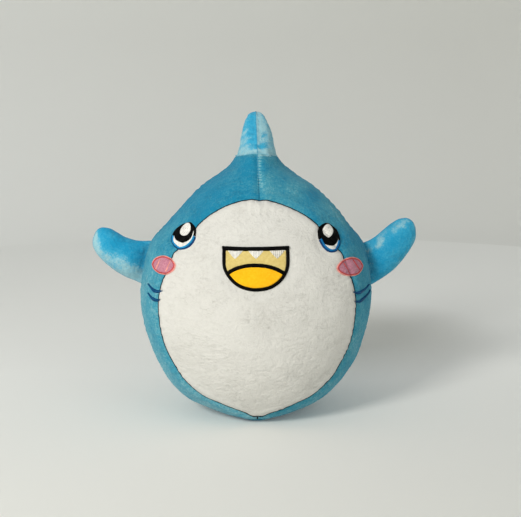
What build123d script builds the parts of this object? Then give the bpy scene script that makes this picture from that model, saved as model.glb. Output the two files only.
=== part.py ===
from build123d import *
import os
import math
import numpy as np

# Plush shark, sitting upright on a flat oval base.
# Row frame: millimetres, origin at the centre of the flat base, +Z up, face toward -Y,
# the shark's right fin on -X and its left fin on +X ("left" and "right" in the node names
# are as seen from the front).

# ------------------------------------------------------------------ driving dimensions
SKIN = 2.0            # plush fabric with its pile, body panels
FIN_SKIN = 1.7        # plush fabric with its pile, fin panels
SEAM_W = 0.8          # width of a sewn seam line between two panels
SEAM_SINK = 0.3       # how far a seam line lies below the fabric surface
EMB_LOW, EMB_TOP = 0.05, 1.0      # satin-stitch relief above the fabric
BACK_TOP, BACK_LOW = -2.05, -2.5  # embroidery backing under the fabric
STUFF_GAP = 2.6       # stuffing surface below the fabric surface
SIDE_SEAM_Y = 2.0     # plane of the side seams and of the side fins
BASE_SEAM_Z = 3.0     # height of the seam round the base panel
NECK_Z = 250.5        # top rim of the body, under the top fin

# body half widths (x) at each height, front and back extents (y), widest line, roundness
ZK = [0, 4, 10, 18, 28, 40, 55, 72, 92, 112, 132, 152, 172, 190, 205, 218, 229, 238, 246, 252, 256]
A_ = [28.0, 43.0, 59.3, 74.4, 84.8, 93.4, 101.4, 108.0, 113.3, 115.7, 114.6, 111.3, 104.8, 90.5,
      77.3, 65.3, 52.7, 38.4, 27.0, 21.6, 20.0]
YF_ = [-46, -55, -62, -69, -76, -82, -87.5, -91.5, -93.5, -93, -90, -85, -77, -67.5, -58, -48,
       -38, -30, -23, -19, -16]
YB_ = [46, 56, 64, 72, 79.5, 86, 91, 94.5, 96, 95.5, 93, 89, 83.5, 77, 70.5, 64, 58, 53.5, 50, 48, 46]
YW_ = [0] * 13 + [1, 3, 6, 9, 12, 14, 15, 15]
NN_ = [1.75, 1.85, 1.95, 2.0, 2.05] + [2.1] * 9 + [2.05, 2.0, 2.0, 2.0, 2.0, 2.0, 2.0]
LEVELS = [0, 3, 8, 16, 28, 44, 64, 88, 112, 136, 158, 178, 196, 212, 226, 238, NECK_Z]
SECTION_POINTS = 24

# belly panel outline: half width at each height, from the top down
BELLY = [(219.5, 0), (218.5, 13.7), (214.7, 26.6), (210.9, 35.6), (207.1, 42.8), (203.3, 48.5),
         (196, 57.1), (185, 67.4), (173, 77.2), (165.8, 82.4), (147, 89.6), (133, 93.9),
         (121, 95.4), (108, 95.0), (92, 92.9), (76.5, 88.6), (61, 81.3), (45, 71.4),
         (29.5, 54.2), (22.5, 38.2), (14.3, 18.7), (7.0, 0)]

# mouth: lower outline from corner to corner, then the straight top bar
MOUTH = [(-32.8, 178.2), (-33.2, 166.5), (-32.8, 160.4), (-30.7, 155.1), (-27.0, 149.8),
         (-21.8, 144.9), (-15.3, 141.4), (-6.8, 139.2), (0.2, 138.9), (7.3, 139.8), (13.4, 141.7),
         (19.1, 145.2), (23.4, 149.2), (26.8, 154.1), (28.8, 159.4), (29.6, 166.5), (29.2, 178.3)]
MOUTH_BORDER = 3.0
MOUTH_BAR_Z = 174.4
TONGUE_ARC = [(-34.0, 150.2), (-28.1, 155.0), (-20.8, 158.9), (-11.4, 161.4), (-2.0, 161.9),
              (7.5, 161.1), (16.4, 158.6), (23.5, 154.8), (32.0, 149.0)]
TONGUE_LINE = 3.0
TEETH = [(-27.6, -21.2, -14.3), (-8.2, -1.7, 5.0), (11.4, 18.2, 24.8)]
TOOTH_TIP_Z = 167.7

EYE_L = [(-65.9, 197.1), (-63.4, 197.0), (-60.5, 194.9), (-59.0, 192.1), (-58.5, 188.9),
         (-59.1, 184.7), (-61.1, 180.8), (-64.7, 177.0), (-68.3, 174.7), (-72.7, 173.4),
         (-76.4, 173.7), (-79.7, 175.7), (-82.1, 178.7), (-82.6, 181.2), (-81.8, 184.2),
         (-79.4, 188.5), (-76.0, 191.9), (-71.6, 195.0)]
EYE_R = [(65.7, 195.8), (69.6, 194.6), (73.4, 192.0), (76.9, 188.9), (78.7, 185.5), (79.5, 181.4),
         (79.2, 177.4), (78.1, 174.0), (76.3, 171.7), (73.6, 170.6), (70.1, 170.6), (66.6, 172.1),
         (63.2, 175.2), (60.6, 179.0), (58.6, 182.5), (57.6, 186.1), (57.4, 189.1), (58.5, 192.0),
         (60.9, 194.5)]
EYE_BORDER = 2.2
EYE_SPLIT_L = ((-90.0, 183.0), (-50.0, 186.6))    # black border above, bright blue below
EYE_SPLIT_R = ((50.0, 184.5), (88.0, 177.6))
PUPIL_L = [(-84.0, 189.0), (-79.6, 185.2), (-78.4, 183.0), (-76.2, 180.6), (-72.8, 179.5),
           (-69.0, 180.3), (-65.7, 182.0), (-62.1, 186.1), (-60.6, 189.8), (-57.0, 194.0)]
PUPIL_R = [(56.0, 194.0), (60.0, 190.6), (61.1, 187.2), (63.4, 181.6), (66.2, 178.6),
           (69.4, 177.0), (73.2, 177.7), (76.0, 180.4), (77.3, 184.0), (80.0, 188.0)]
GLINT_L = (-68.1, 191.2, 6.5, 5.5, 45.0)          # centre x, z, semi axes, turn
GLINT_R = (67.4, 189.2, 5.9, 5.6, 0.0)

CHEEK_L = [(-101.3, 155.6), (-97.3, 161.7), (-90.4, 165.4), (-83.0, 164.2), (-77.7, 159.0),
           (-82.0, 152.3), (-90.1, 148.7), (-97.8, 150.4)]
CHEEK_R = [(75.1, 156.0), (79.8, 161.3), (89.5, 163.2), (98.6, 160.0), (103.6, 152.2),
           (97.8, 146.6), (86.8, 146.8), (78.4, 150.6)]
CHEEK_BORDER = 1.8
CHEEK_LINES_L = [((-93.1, 161.3), (-97.0, 151.9)), ((-84.1, 161.7), (-88.2, 151.5))]
CHEEK_LINES_R = [((81.5, 159.3), (88.9, 149.2)), ((91.5, 160.8), (99.3, 150.0))]
GILLS_L = [[(-104.6, 136.4), (-99.7, 132.9), (-95.6, 131.6), (-89.7, 133.7)],
           [(-104.4, 127.9), (-101.0, 125.0), (-96.9, 123.2), (-91.9, 125.1)]]
GILLS_R = [[(109.5, 132.0), (101.5, 130.2), (95.3, 129.7), (89.2, 132.2)],
           [(109.0, 125.2), (104.3, 122.4), (97.9, 120.7), (90.6, 123.2)]]
GILL_W = 1.9

# side fins: u runs out of the body square to the root chord, v up along the chord
FIN_ROOT_LOW = (115.0, 128.0)
FIN_ROOT_HIGH = (104.4, 173.0)
FIN_U = [2.8, 8, 16, 26, 36, 44, 50, 54, 56.3, 57.2]
FIN_L_LO = [1.2, 2.3, 3.5, 6.4, 10.8, 15.4, 19.9, 24.2, 28.2, 31.2]
FIN_L_HI = [45.2, 43.5, 42.2, 42.9, 46.0, 48.1, 47.6, 45.3, 41.4, 37.0]
FIN_R_LO = [-1.2, 0.0, 2.9, 7.2, 14.0, 20.8, 26.8, 31.8, 37.0, 41.0]
FIN_R_HI = [41.7, 42.4, 44.9, 50.1, 54.8, 56.9, 56.3, 53.6, 50.2, 47.6]
FIN_H = [1.6, 6.0, 10.4, 12.5, 12.0, 10.2, 8.0, 5.6, 3.4, 1.6]     # half thickness
FIN_HINGE_U = 5.0

# top fin: half width, front edge and back edge at each height
TOP_HINGE_Z = 257.0
TOP_R = 15.75
TOP_POCKET_R = 16.1
TOP_Z = [257, 263, 269, 275.6, 283.8, 290, 295, 298.4, 299.6]
TOP_W = [15.5, 15.9, 16.0, 15.1, 13.1, 10.8, 8.2, 4.6, 2.2]
TOP_F = [-11, -7.5, -3.8, 0.6, 6.2, 10.6, 14.4, 18.0, 20.0]
TOP_B = [41, 38.5, 36.4, 34.6, 32.8, 31.6, 30.2, 28.4, 26.6]

# tail fin: two lobes in the plane x = 0; centre line (y, z), half height, half thickness
TAIL_UP = [(95.4, 62.0, 12.6, 1.6), (100.4, 62.6, 12.6, 5.6), (107.0, 64.4, 12.0, 9.0),
           (117.0, 69.5, 12.0, 9.6), (127.0, 77.5, 11.6, 8.8), (136.0, 87.5, 9.4, 7.0),
           (142.0, 96.0, 6.0, 4.4), (144.2, 99.6, 3.0, 2.0)]
TAIL_DN = [(95.4, 62.0, 12.6, 1.6), (100.4, 61.4, 12.6, 5.6), (107.0, 59.4, 12.0, 9.0),
           (116.0, 54.0, 11.6, 9.4), (124.5, 46.5, 10.4, 8.4), (131.0, 38.5, 8.0, 6.4),
           (135.0, 31.6, 5.0, 4.0), (136.4, 28.8, 2.6, 1.9)]
TAIL_HINGE_Y = 97.6


# ------------------------------------------------------------------ helpers
def pchip(xk, yk, x):
    xk = np.asarray(xk, float)
    yk = np.asarray(yk, float)
    h = np.diff(xk)
    d = np.diff(yk) / h
    m = np.zeros(len(xk))
    for i in range(1, len(xk) - 1):
        if d[i - 1] * d[i] > 0:
            w1, w2 = 2 * h[i] + h[i - 1], h[i] + 2 * h[i - 1]
            m[i] = (w1 + w2) / (w1 / d[i - 1] + w2 / d[i])
    m[0] = ((2 * h[0] + h[1]) * d[0] - h[0] * d[1]) / (h[0] + h[1])
    m[-1] = ((2 * h[-1] + h[-2]) * d[-1] - h[-1] * d[-2]) / (h[-1] + h[-2])
    x = np.atleast_1d(np.asarray(x, float))
    k = np.clip(np.searchsorted(xk, x, side="right") - 1, 0, len(xk) - 2)
    t = (x - xk[k]) / h[k]
    return ((2 * t**3 - 3 * t**2 + 1) * yk[k] + (t**3 - 2 * t**2 + t) * h[k] * m[k]
            + (-2 * t**3 + 3 * t**2) * yk[k + 1] + (t**3 - t**2) * h[k] * m[k + 1])


def offset_profile(values, d, sign=1.0):
    """A half profile over height moved outward by d, as (heights, values)."""
    z = np.linspace(0, 254, 1017)
    a = sign * pchip(ZK, values, z)
    g = np.gradient(a, z)
    s = np.sqrt(1 + g * g)
    return z - d * g / s, sign * (a + d / s)


def closed(points):
    """A smooth closed section; every section has the same parameters, so a loft stays light."""
    n = len(points)
    return Wire([Edge.make_spline([Vector(*p) for p in points], periodic=True,
                                  parameters=[i / n for i in range(n + 1)])])


def body_loft(d=0.0):
    za, aa = offset_profile(A_, d)
    zf, ff = offset_profile(YF_, d, -1.0)
    zb, bb = offset_profile(YB_, d)
    low, top = max(0.0, -d), NECK_Z + min(0.0, d)
    levels = [low] + [z + (max(0.0, -d) if z < 10 else 0.0) for z in LEVELS[1:-1]] + [top]
    wires = []
    for z in levels:
        a = float(np.interp(z, za, aa))
        yf = float(np.interp(z, zf, ff))
        yb = float(np.interp(z, zb, bb))
        yw = float(pchip(ZK, YW_, z)[0])
        n = float(pchip(ZK, NN_, z)[0])
        pts = []
        for i in range(SECTION_POINTS):
            t = 2 * math.pi * i / SECTION_POINTS
            c, s = math.cos(t), math.sin(t)
            x = a * math.copysign(abs(c) ** (2 / n), c) if abs(c) > 1e-9 else 0.0
            q = math.copysign(abs(s) ** (2 / n), s) if abs(s) > 1e-9 else 0.0
            pts.append((x, yw + ((yw - yf) if q < 0 else (yb - yw)) * q, z))
        wires.append(closed(pts))
    return Solid.make_loft(wires)


def loop_edges(points):
    """A smooth closed loop made of two splines that meet with one tangent."""
    p = [Vector(*q) for q in points]
    n, m = len(p), len(p) // 2
    t0, tm = (p[1] - p[-1]).normalized(), (p[m + 1] - p[m - 1]).normalized()
    return [Edge.make_spline(p[: m + 1], tangents=[t0, tm]),
            Edge.make_spline(p[m:] + [p[0]], tangents=[tm, t0])]


def prism(face2d_points, y0=-140.0, y1=-8.0, straight=False):
    """A closed (x, z) outline swept along Y."""
    pts = [(x, y0, z) for x, z in face2d_points]
    if straight:
        wire = Wire.make_polygon([Vector(*p) for p in pts], close=True)
    else:
        wire = Wire(loop_edges(pts))
    return Solid.extrude(Face(wire), Vector(0, y1 - y0, 0))


def half_band(loop, n, sgn, d0, d1, y0=-140.0, y1=-20.0):
    """Half of a narrow band along a symmetric loop, between the offsets d0 and d1."""
    sides = []
    for d in (d1, d0):
        q = shrink(loop, -d)[:n]
        q[0], q[-1] = (0.0, q[0][1]), (0.0, q[-1][1])
        sides.append([Vector(sgn * x, y0, z) for x, z in q])
    a, b = sides
    wire = Wire([Edge.make_spline(a), Edge.make_line(a[-1], b[-1]), Edge.make_spline(b[::-1]),
                 Edge.make_line(b[0], a[0])])
    return Solid.extrude(Face(wire), Vector(0, y1 - y0, 0))


def mixed_prism(curve, y0=-140.0, y1=-8.0):
    """An outline of one smooth curve closed by a straight line."""
    pts = [Vector(x, y0, z) for x, z in curve]
    wire = Wire([Edge.make_spline(pts), Edge.make_line(pts[-1], pts[0])])
    return Solid.extrude(Face(wire), Vector(0, y1 - y0, 0))


def region(curve, z_far, y0=-140.0, y1=-8.0):
    """Everything between a smooth curve and the level z_far."""
    pts = [Vector(x, y0, z) for x, z in curve]
    c1 = Vector(curve[-1][0], y0, z_far)
    c0 = Vector(curve[0][0], y0, z_far)
    wire = Wire([Edge.make_spline(pts), Edge.make_line(pts[-1], c1), Edge.make_line(c1, c0),
                 Edge.make_line(c0, pts[0])])
    return Solid.extrude(Face(wire), Vector(0, y1 - y0, 0))


def inset(points, d, is_closed=True):
    """The (x, z) points moved to the left of their direction of travel by d."""
    p = np.array(points, float)
    if is_closed:
        t = np.roll(p, -1, 0) - np.roll(p, 1, 0)
    else:
        t = np.gradient(p, axis=0)
    t /= np.linalg.norm(t, axis=1, keepdims=True)
    return [tuple(q) for q in p + d * np.stack([-t[:, 1], t[:, 0]], 1)]


def shrink(points, d):
    p = np.array(points, float)
    area = 0.5 * np.sum(p[:, 0] * np.roll(p[:, 1], -1) - np.roll(p[:, 0], -1) * p[:, 1])
    return inset(points, d if area > 0 else -d)


def strip(p, q, w):
    p, q = np.array(p, float), np.array(q, float)
    t = (q - p) / np.linalg.norm(q - p)
    n = np.array([-t[1], t[0]]) * w / 2
    return [tuple(p + n), tuple(p - n), tuple(q - n), tuple(q + n)]


def crescent(points, w):
    up, dn = [], []
    p = np.array(points, float)
    t = np.gradient(p, axis=0)
    t /= np.linalg.norm(t, axis=1, keepdims=True)
    for i, (a, b) in enumerate(zip(p, t)):
        k = w / 2 * (0.45 if i in (0, len(p) - 1) else 1.0)
        up.append(tuple(a + k * np.array([-b[1], b[0]])))
        dn.append(tuple(a - k * np.array([-b[1], b[0]])))
    return up + dn[::-1]


def oval(cx, cz, a, b, deg, n=16):
    r = math.radians(deg)
    out = []
    for i in range(n):
        t = 2 * math.pi * i / n
        u, v = a * math.cos(t), b * math.sin(t)
        out.append((cx + u * math.cos(r) - v * math.sin(r), cz + u * math.sin(r) + v * math.cos(r)))
    return out


def block(x0, x1, y0, y1, z0, z1):
    return Solid.make_box(x1 - x0, y1 - y0, z1 - z0, Plane(origin=(x0, y0, z0)))


def cut(a, *tools):
    r = a
    for t in tools:
        r = r - t
    return r


PARTS = {}


def put(name, shape, keep_above=0.05):
    solids = [s for s in shape.solids() if s.volume > keep_above]
    assert solids, name
    PARTS[name] = solids[0] if len(solids) == 1 else Compound(children=solids)
    PARTS[name].label = name


# ------------------------------------------------------------------ body shells
outer = body_loft(0.0)
inner = body_loft(-SKIN)
seam_top = body_loft(-SEAM_SINK)
stuff = body_loft(-STUFF_GAP)

g = SEAM_W / 2
belly_right = [(x, z) for z, x in BELLY]
belly_loop = belly_right + [(-x, z) for x, z in belly_right[-2:0:-1]]


def belly_prism(d, y0=-140.0, y1=-20.0):
    q = shrink(belly_loop, d)[:len(BELLY)]
    q[0], q[-1] = (0.0, q[0][1]), (0.0, q[-1][1])
    rr = [Vector(x, y0, z) for x, z in q]
    ll = [Vector(-x, y0, z) for x, z in q][::-1]
    return Solid.extrude(Face(Wire([Edge.make_spline(rr), Edge.make_spline(ll)])), Vector(0, y1 - y0, 0))


belly_in, belly_out = belly_prism(g), belly_prism(-g)
pocket = Solid.make_cylinder(TOP_POCKET_R, 54.0, Plane(origin=(0, -12.0, TOP_HINGE_Z), z_dir=(0, 1, 0)))

BIG = 160.0
zb0, zb1 = BASE_SEAM_Z - 0.35, BASE_SEAM_Z + 0.35
ys = SIDE_SEAM_Y
shell = outer - inner
seam_shell = seam_top - inner
put("belly_panel", shell & belly_in)
put("base_panel", shell & block(-BIG, BIG, -BIG, BIG, -1, zb0))
for tag, x0, x1 in (("left", -BIG, -g), ("right", g, BIG)):
    put("side_panel_" + tag, cut(shell & block(x0, x1, -BIG, ys - g, zb1, 260), belly_out, pocket))
    put("back_panel_" + tag, cut(shell & block(x0, x1, ys + g, BIG, zb1, 260), pocket))
    put("side_seam_" + tag, cut(seam_shell & block(x0, x1, ys - g, ys + g, zb1, 260), pocket))
put("belly_seam", Compound(children=[s for sgn in (-1, 1) for s in
                                     (seam_shell & half_band(belly_loop, len(BELLY), sgn, -g, g)).solids()]))
put("front_centre_seam", cut(seam_shell & block(-g, g, -BIG, ys - g, zb1, 260), belly_out, pocket))
put("back_centre_seam", cut(seam_shell & block(-g, g, ys + g, BIG, zb1, 260), pocket))
put("base_seam", seam_shell & block(-BIG, BIG, -BIG, BIG, zb0, zb1))
put("body_stuffing", stuff - pocket)

bars = []
for i in range(9):
    z = 92.0 + 5.0 * i
    yb = float(pchip(ZK, YB_, z)[0])
    bars.append(block(-2.1, 2.1, yb + 0.2, yb + 0.8, z - 0.35, z + 0.35))
put("closing_stitches", Compound(children=bars))

# ------------------------------------------------------------------ face embroidery
front_box = block(-BIG, BIG, -BIG, -8, 112, 206)
relief = (body_loft(EMB_TOP) & front_box) - body_loft(EMB_LOW)
backing = (body_loft(BACK_TOP) & front_box) - body_loft(BACK_LOW)

mouth_all = mixed_prism(MOUTH)
inner_curve = inset(MOUTH, MOUTH_BORDER, is_closed=False)
inner_curve = [(inner_curve[0][0], MOUTH_BAR_Z)] + inner_curve[1:-1] + [(inner_curve[-1][0], MOUTH_BAR_Z)]
mouth_in = mixed_prism(inner_curve)
teeth = [prism([(a, MOUTH_BAR_Z + 1), ((a + t) / 2 - 0.5, (MOUTH_BAR_Z + TOOTH_TIP_Z) / 2), (t, TOOTH_TIP_Z),
                ((b + t) / 2 + 0.5, (MOUTH_BAR_Z + TOOTH_TIP_Z) / 2), (b, MOUTH_BAR_Z + 1)], straight=True)
         for a, t, b in TEETH]
arc_up = [(x, z + TONGUE_LINE / 2) for x, z in TONGUE_ARC]
arc_dn = [(x, z - TONGUE_LINE / 2) for x, z in TONGUE_ARC]
above, below = region(arc_up, 190), region(arc_dn, 120)
put("mouth_outline", (relief & mouth_all) - mouth_in)
inside = relief & mouth_in
upper = inside & above
put("teeth", Compound(children=[s for t in teeth for s in (upper & t).solids()]))
put("mouth_lining", cut(upper, *teeth))
put("tongue", inside & below)
put("tongue_outline", cut(inside, above, below))

for tag, loop, split, low, glint in (("left", EYE_L, EYE_SPLIT_L, PUPIL_L, GLINT_L),
                                     ("right", EYE_R, EYE_SPLIT_R, PUPIL_R, GLINT_R)):
    whole = relief & prism(loop)
    core_p = prism(shrink(loop, EYE_BORDER))
    glint_p = prism(oval(*glint))
    border = cut(whole, core_p, glint_p)
    up_p = prism([split[0], split[1], (split[1][0], 210), (split[0][0], 210)], straight=True)
    put("eye_%s_upper_outline" % tag, border & up_p)
    put("eye_%s_lower_outline" % tag, border - up_p)
    core = relief & core_p
    pupil_p = region(low, 212)
    put("eye_%s_glint" % tag, whole & glint_p)
    put("eye_%s_pupil" % tag, (core & pupil_p) - glint_p)
    put("eye_%s_white" % tag, cut(core, pupil_p, glint_p))
    put("embroidery_backing_eye_" + tag, backing & prism(shrink(loop, -4.0)))

for tag, loop, lines in (("left", CHEEK_L, CHEEK_LINES_L), ("right", CHEEK_R, CHEEK_LINES_R)):
    whole = relief & prism(loop)
    core = relief & prism(shrink(loop, CHEEK_BORDER))
    bands = [prism(strip(p, q, CHEEK_BORDER), straight=True) for p, q in lines]
    put("cheek_patch_" + tag, cut(core, *bands))
    ring = cut(whole, prism(shrink(loop, CHEEK_BORDER)))
    put("cheek_border_" + tag, Compound(children=list(ring.solids())
                                        + [s for b in bands for s in (core & b).solids()]))
    put("embroidery_backing_cheek_" + tag, backing & prism(shrink(loop, -3.0)))
for tag, gills in (("left", GILLS_L), ("right", GILLS_R)):
    put("gill_stitches_" + tag, Compound(children=[s for c in gills
                                                   for s in (relief & prism(crescent(c, GILL_W))).solids()]))
put("embroidery_backing_mouth", backing & mixed_prism(
    [(-37.0, 182.0)] + inset(MOUTH, -4.0, is_closed=False)[1:-1] + [(33.4, 182.0)]))


# ------------------------------------------------------------------ side fins
def fin_frame(sgn):
    lo = np.array([sgn * FIN_ROOT_LOW[0], 0, FIN_ROOT_LOW[1]])
    hi = np.array([sgn * FIN_ROOT_HIGH[0], 0, FIN_ROOT_HIGH[1]])
    v = (hi - lo) / np.linalg.norm(hi - lo)
    u = np.array([sgn * v[2], 0, -sgn * v[0]])
    return lo, u, v


def fin_loft(sgn, lo_k, hi_k, us, d, dh):
    o, u, v = fin_frame(sgn)
    wires = []
    for q in us:
        src = q if d == 0 else min(q, FIN_U[-1])
        a, b = float(pchip(FIN_U, lo_k, src)[0]), float(pchip(FIN_U, hi_k, src)[0])
        h = float(pchip(FIN_U, FIN_H, src)[0]) - dh
        mid, half = (a + b) / 2, (b - a) / 2 - d
        pts = []
        for i in range(16):
            t = 2 * math.pi * i / 16
            p = o + u * q + v * (mid + half * math.cos(t))
            pts.append((p[0], SIDE_SEAM_Y + h * math.sin(t), p[2]))
        wires.append(closed(pts))
    return Solid.make_loft(wires)


for tag, sgn, lo_k, hi_k in (("left", -1, FIN_L_LO, FIN_L_HI), ("right", 1, FIN_R_LO, FIN_R_HI)):
    skin = fin_loft(sgn, lo_k, hi_k, FIN_U, 0, 0)
    hollow = fin_loft(sgn, lo_k, hi_k, [7.5, 11, 17, 26, 36, 44, 49, 52.5, 54.6], FIN_SKIN + 0.4, FIN_SKIN)
    fill = fin_loft(sgn, lo_k, hi_k, [8.0, 11.5, 17, 26, 36, 44, 49, 52, 54.0], FIN_SKIN + 0.8, FIN_SKIN + 0.4)
    w = 0.3
    put("pectoral_fin_%s_front_panel" % tag, cut(skin & block(-200, 200, -60, ys - w, 60, 260), hollow))
    put("pectoral_fin_%s_back_panel" % tag, cut(skin & block(-200, 200, ys + w, 60, 60, 260), hollow))
    put("pectoral_fin_%s_seam" % tag, cut(skin & block(-200, 200, ys - w, ys + w, 60, 260), hollow))
    put("pectoral_fin_%s_stuffing" % tag, fill)


# ------------------------------------------------------------------ top fin
def top_loft(zs, d, dz=0.0):
    wires = []
    for z in zs:
        w = float(pchip(TOP_Z, TOP_W, z)[0]) - d
        f, b = float(pchip(TOP_Z, TOP_F, z)[0]) + d, float(pchip(TOP_Z, TOP_B, z)[0]) - d
        wires.append(closed([(w * math.cos(t), (f + b) / 2 + (b - f) / 2 * math.sin(t), z)
                             for t in [2 * math.pi * i / 16 for i in range(16)]]))
    return Solid.make_loft(wires), wires[0]


def top_root(wire, r, depth):
    base = Solid.extrude(Face(wire), Vector(0, 0, -depth))
    rod = Solid.make_cylinder(r, 80.0, Plane(origin=(0, -24.0, TOP_HINGE_Z), z_dir=(0, 1, 0)))
    return base & rod


top_skin, w0 = top_loft(TOP_Z, 0.0)
top_skin = top_skin + top_root(w0, TOP_R, 15.6)
top_hollow, w1 = top_loft([257, 263, 269, 275.6, 283.8, 290, 294.6, 296.6], FIN_SKIN)
top_hollow = top_hollow + top_root(w1, TOP_R - FIN_SKIN, 15.6)
top_fill, w2 = top_loft([257, 263, 269, 275.6, 283.8, 290, 294.2, 296.0], FIN_SKIN + 0.4)
top_fill = top_fill + top_root(w2, TOP_R - FIN_SKIN - 0.4, 15.6)
w = 0.3
put("dorsal_fin_left_panel", cut(top_skin & block(-60, -w, -60, 90, 230, 310), top_hollow))
put("dorsal_fin_right_panel", cut(top_skin & block(w, 60, -60, 90, 230, 310), top_hollow))
put("dorsal_fin_seam", cut(top_skin & block(-w, w, -60, 90, 230, 310), top_hollow))
put("dorsal_fin_stuffing", top_fill)


# ------------------------------------------------------------------ tail fin
def lobe(rows, d, dh, first=0, last=None):
    rows = rows[first:last]
    p = np.array([(r[0], r[1]) for r in rows], float)
    t = np.gradient(p, axis=0)
    t /= np.linalg.norm(t, axis=1, keepdims=True)
    if first == 0:
        t[0] = (1.0, 0.0)
    wires = []
    for (y, z, hv, ht), (ty, tz) in zip(rows, t):
        hv, ht = hv - d, ht - dh
        wires.append(closed([(ht * math.sin(q), y - tz * hv * math.cos(q), z + ty * hv * math.cos(q))
                             for q in [2 * math.pi * i / 16 for i in range(16)]]))
    return Solid.make_loft(wires)


tail_skin = lobe(TAIL_UP, 0, 0) + lobe(TAIL_DN, 0, 0)
tail_hollow = lobe(TAIL_UP, 1.9, 1.6, 1, -1) + lobe(TAIL_DN, 1.9, 1.6, 1, -1)
tail_fill = lobe(TAIL_UP, 2.3, 1.9, 1, -1) + lobe(TAIL_DN, 2.3, 1.9, 1, -1)
put("tail_fin_left_panel", cut(tail_skin & block(-60, -w, 60, 200, 0, 200), tail_hollow))
put("tail_fin_right_panel", cut(tail_skin & block(w, 60, 60, 200, 0, 200), tail_hollow))
put("tail_fin_seam", cut(tail_skin & block(-w, w, 60, 200, 0, 200), tail_hollow))
put("tail_fin_stuffing", tail_fill)

# ------------------------------------------------------------------ write
os.makedirs("parts", exist_ok=True)
for name in os.listdir("parts"):
    if name.endswith(".step"):
        os.remove(os.path.join("parts", name))
for name, shape in PARTS.items():
    export_step(shape, os.path.join("parts", name + ".step"))
    bb = shape.bounding_box()
    print("%-34s %2d solids %12.1f mm3  x %.1f..%.1f y %.1f..%.1f z %.1f..%.1f" % (
        name, len(shape.solids()), shape.volume, bb.min.X, bb.max.X, bb.min.Y, bb.max.Y, bb.min.Z, bb.max.Z))
print(len(PARTS), "nodes")
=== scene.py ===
import math
import bpy
import numpy as np
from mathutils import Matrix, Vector


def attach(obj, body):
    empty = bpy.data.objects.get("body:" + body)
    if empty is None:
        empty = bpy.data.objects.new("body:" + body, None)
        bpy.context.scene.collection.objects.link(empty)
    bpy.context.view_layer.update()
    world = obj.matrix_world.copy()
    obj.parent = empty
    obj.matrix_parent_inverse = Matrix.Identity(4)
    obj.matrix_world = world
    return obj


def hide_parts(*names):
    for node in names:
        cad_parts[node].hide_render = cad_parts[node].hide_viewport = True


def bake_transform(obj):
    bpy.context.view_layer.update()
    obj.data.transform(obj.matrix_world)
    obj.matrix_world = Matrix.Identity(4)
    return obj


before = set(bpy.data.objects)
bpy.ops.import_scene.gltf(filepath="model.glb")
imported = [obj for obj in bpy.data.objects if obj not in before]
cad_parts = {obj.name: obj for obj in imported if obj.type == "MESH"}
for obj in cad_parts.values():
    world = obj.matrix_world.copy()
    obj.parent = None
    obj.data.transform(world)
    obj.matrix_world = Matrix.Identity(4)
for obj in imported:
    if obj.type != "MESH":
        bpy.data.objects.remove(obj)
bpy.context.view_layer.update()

rng = np.random.default_rng(7)

# ------------------------------------------------------------------ shape tables (mm), as in the design
ZK = [0, 4, 10, 18, 28, 40, 55, 72, 92, 112, 132, 152, 172, 190, 205, 218, 229, 238, 246, 252, 256, 259, 263.3]
A_ = [28.0, 43.0, 59.3, 74.4, 84.8, 93.4, 101.4, 108.0, 113.3, 115.7, 114.6, 111.3, 104.8, 90.5,
      77.3, 65.3, 52.7, 38.4, 27.0, 21.6, 20.0, 18.6, 17.4]
YF_ = [-46, -55, -62, -69, -76, -82, -87.5, -91.5, -93.5, -93, -90, -85, -77, -67.5, -58, -48,
       -38, -30, -23, -19, -16, -12.4, -8.8]
YB_ = [46, 56, 64, 72, 79.5, 86, 91, 94.5, 96, 95.5, 93, 89, 83.5, 77, 70.5, 64, 58, 53.5, 50, 48, 46, 43, 40]
YW_ = [0] * 13 + [1, 3, 6, 9, 12, 14, 15, 15, 15, 15]
NN_ = [1.75, 1.85, 1.95, 2.0, 2.05] + [2.1] * 9 + [2.05] + [2.0] * 8
X0_ = [0] * 11 + [0.3, 0.7, 1.3, 2.0, 2.0, 2.0, 2.0, 1.7, 1.4, 1.2, 1.15, 1.05]
BELLY = [(219.5, 0), (218.5, 13.7), (214.7, 26.6), (210.9, 35.6), (207.1, 42.8), (203.3, 48.5),
         (196, 57.1), (185, 67.4), (173, 77.2), (165.8, 82.4), (147, 89.6), (133, 93.9),
         (121, 95.4), (108, 95.0), (92, 92.9), (76.5, 88.6), (61, 81.3), (45, 71.4),
         (29.5, 54.2), (22.5, 38.2), (14.3, 18.7), (7.0, 0)]
MOUTH = [(-32.8, 178.2), (-33.2, 166.5), (-32.8, 160.4), (-30.7, 155.1), (-27.0, 149.8),
         (-21.8, 144.9), (-15.3, 141.4), (-6.8, 139.2), (0.2, 138.9), (7.3, 139.8), (13.4, 141.7),
         (19.1, 145.2), (23.4, 149.2), (26.8, 154.1), (28.8, 159.4), (29.6, 166.5), (29.2, 178.3)]
TONGUE_ARC = [(-28.1, 155.0), (-20.8, 158.9), (-11.4, 161.4), (-2.0, 161.9), (7.5, 161.1), (16.4, 158.6), (24.3, 154.6)]
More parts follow.
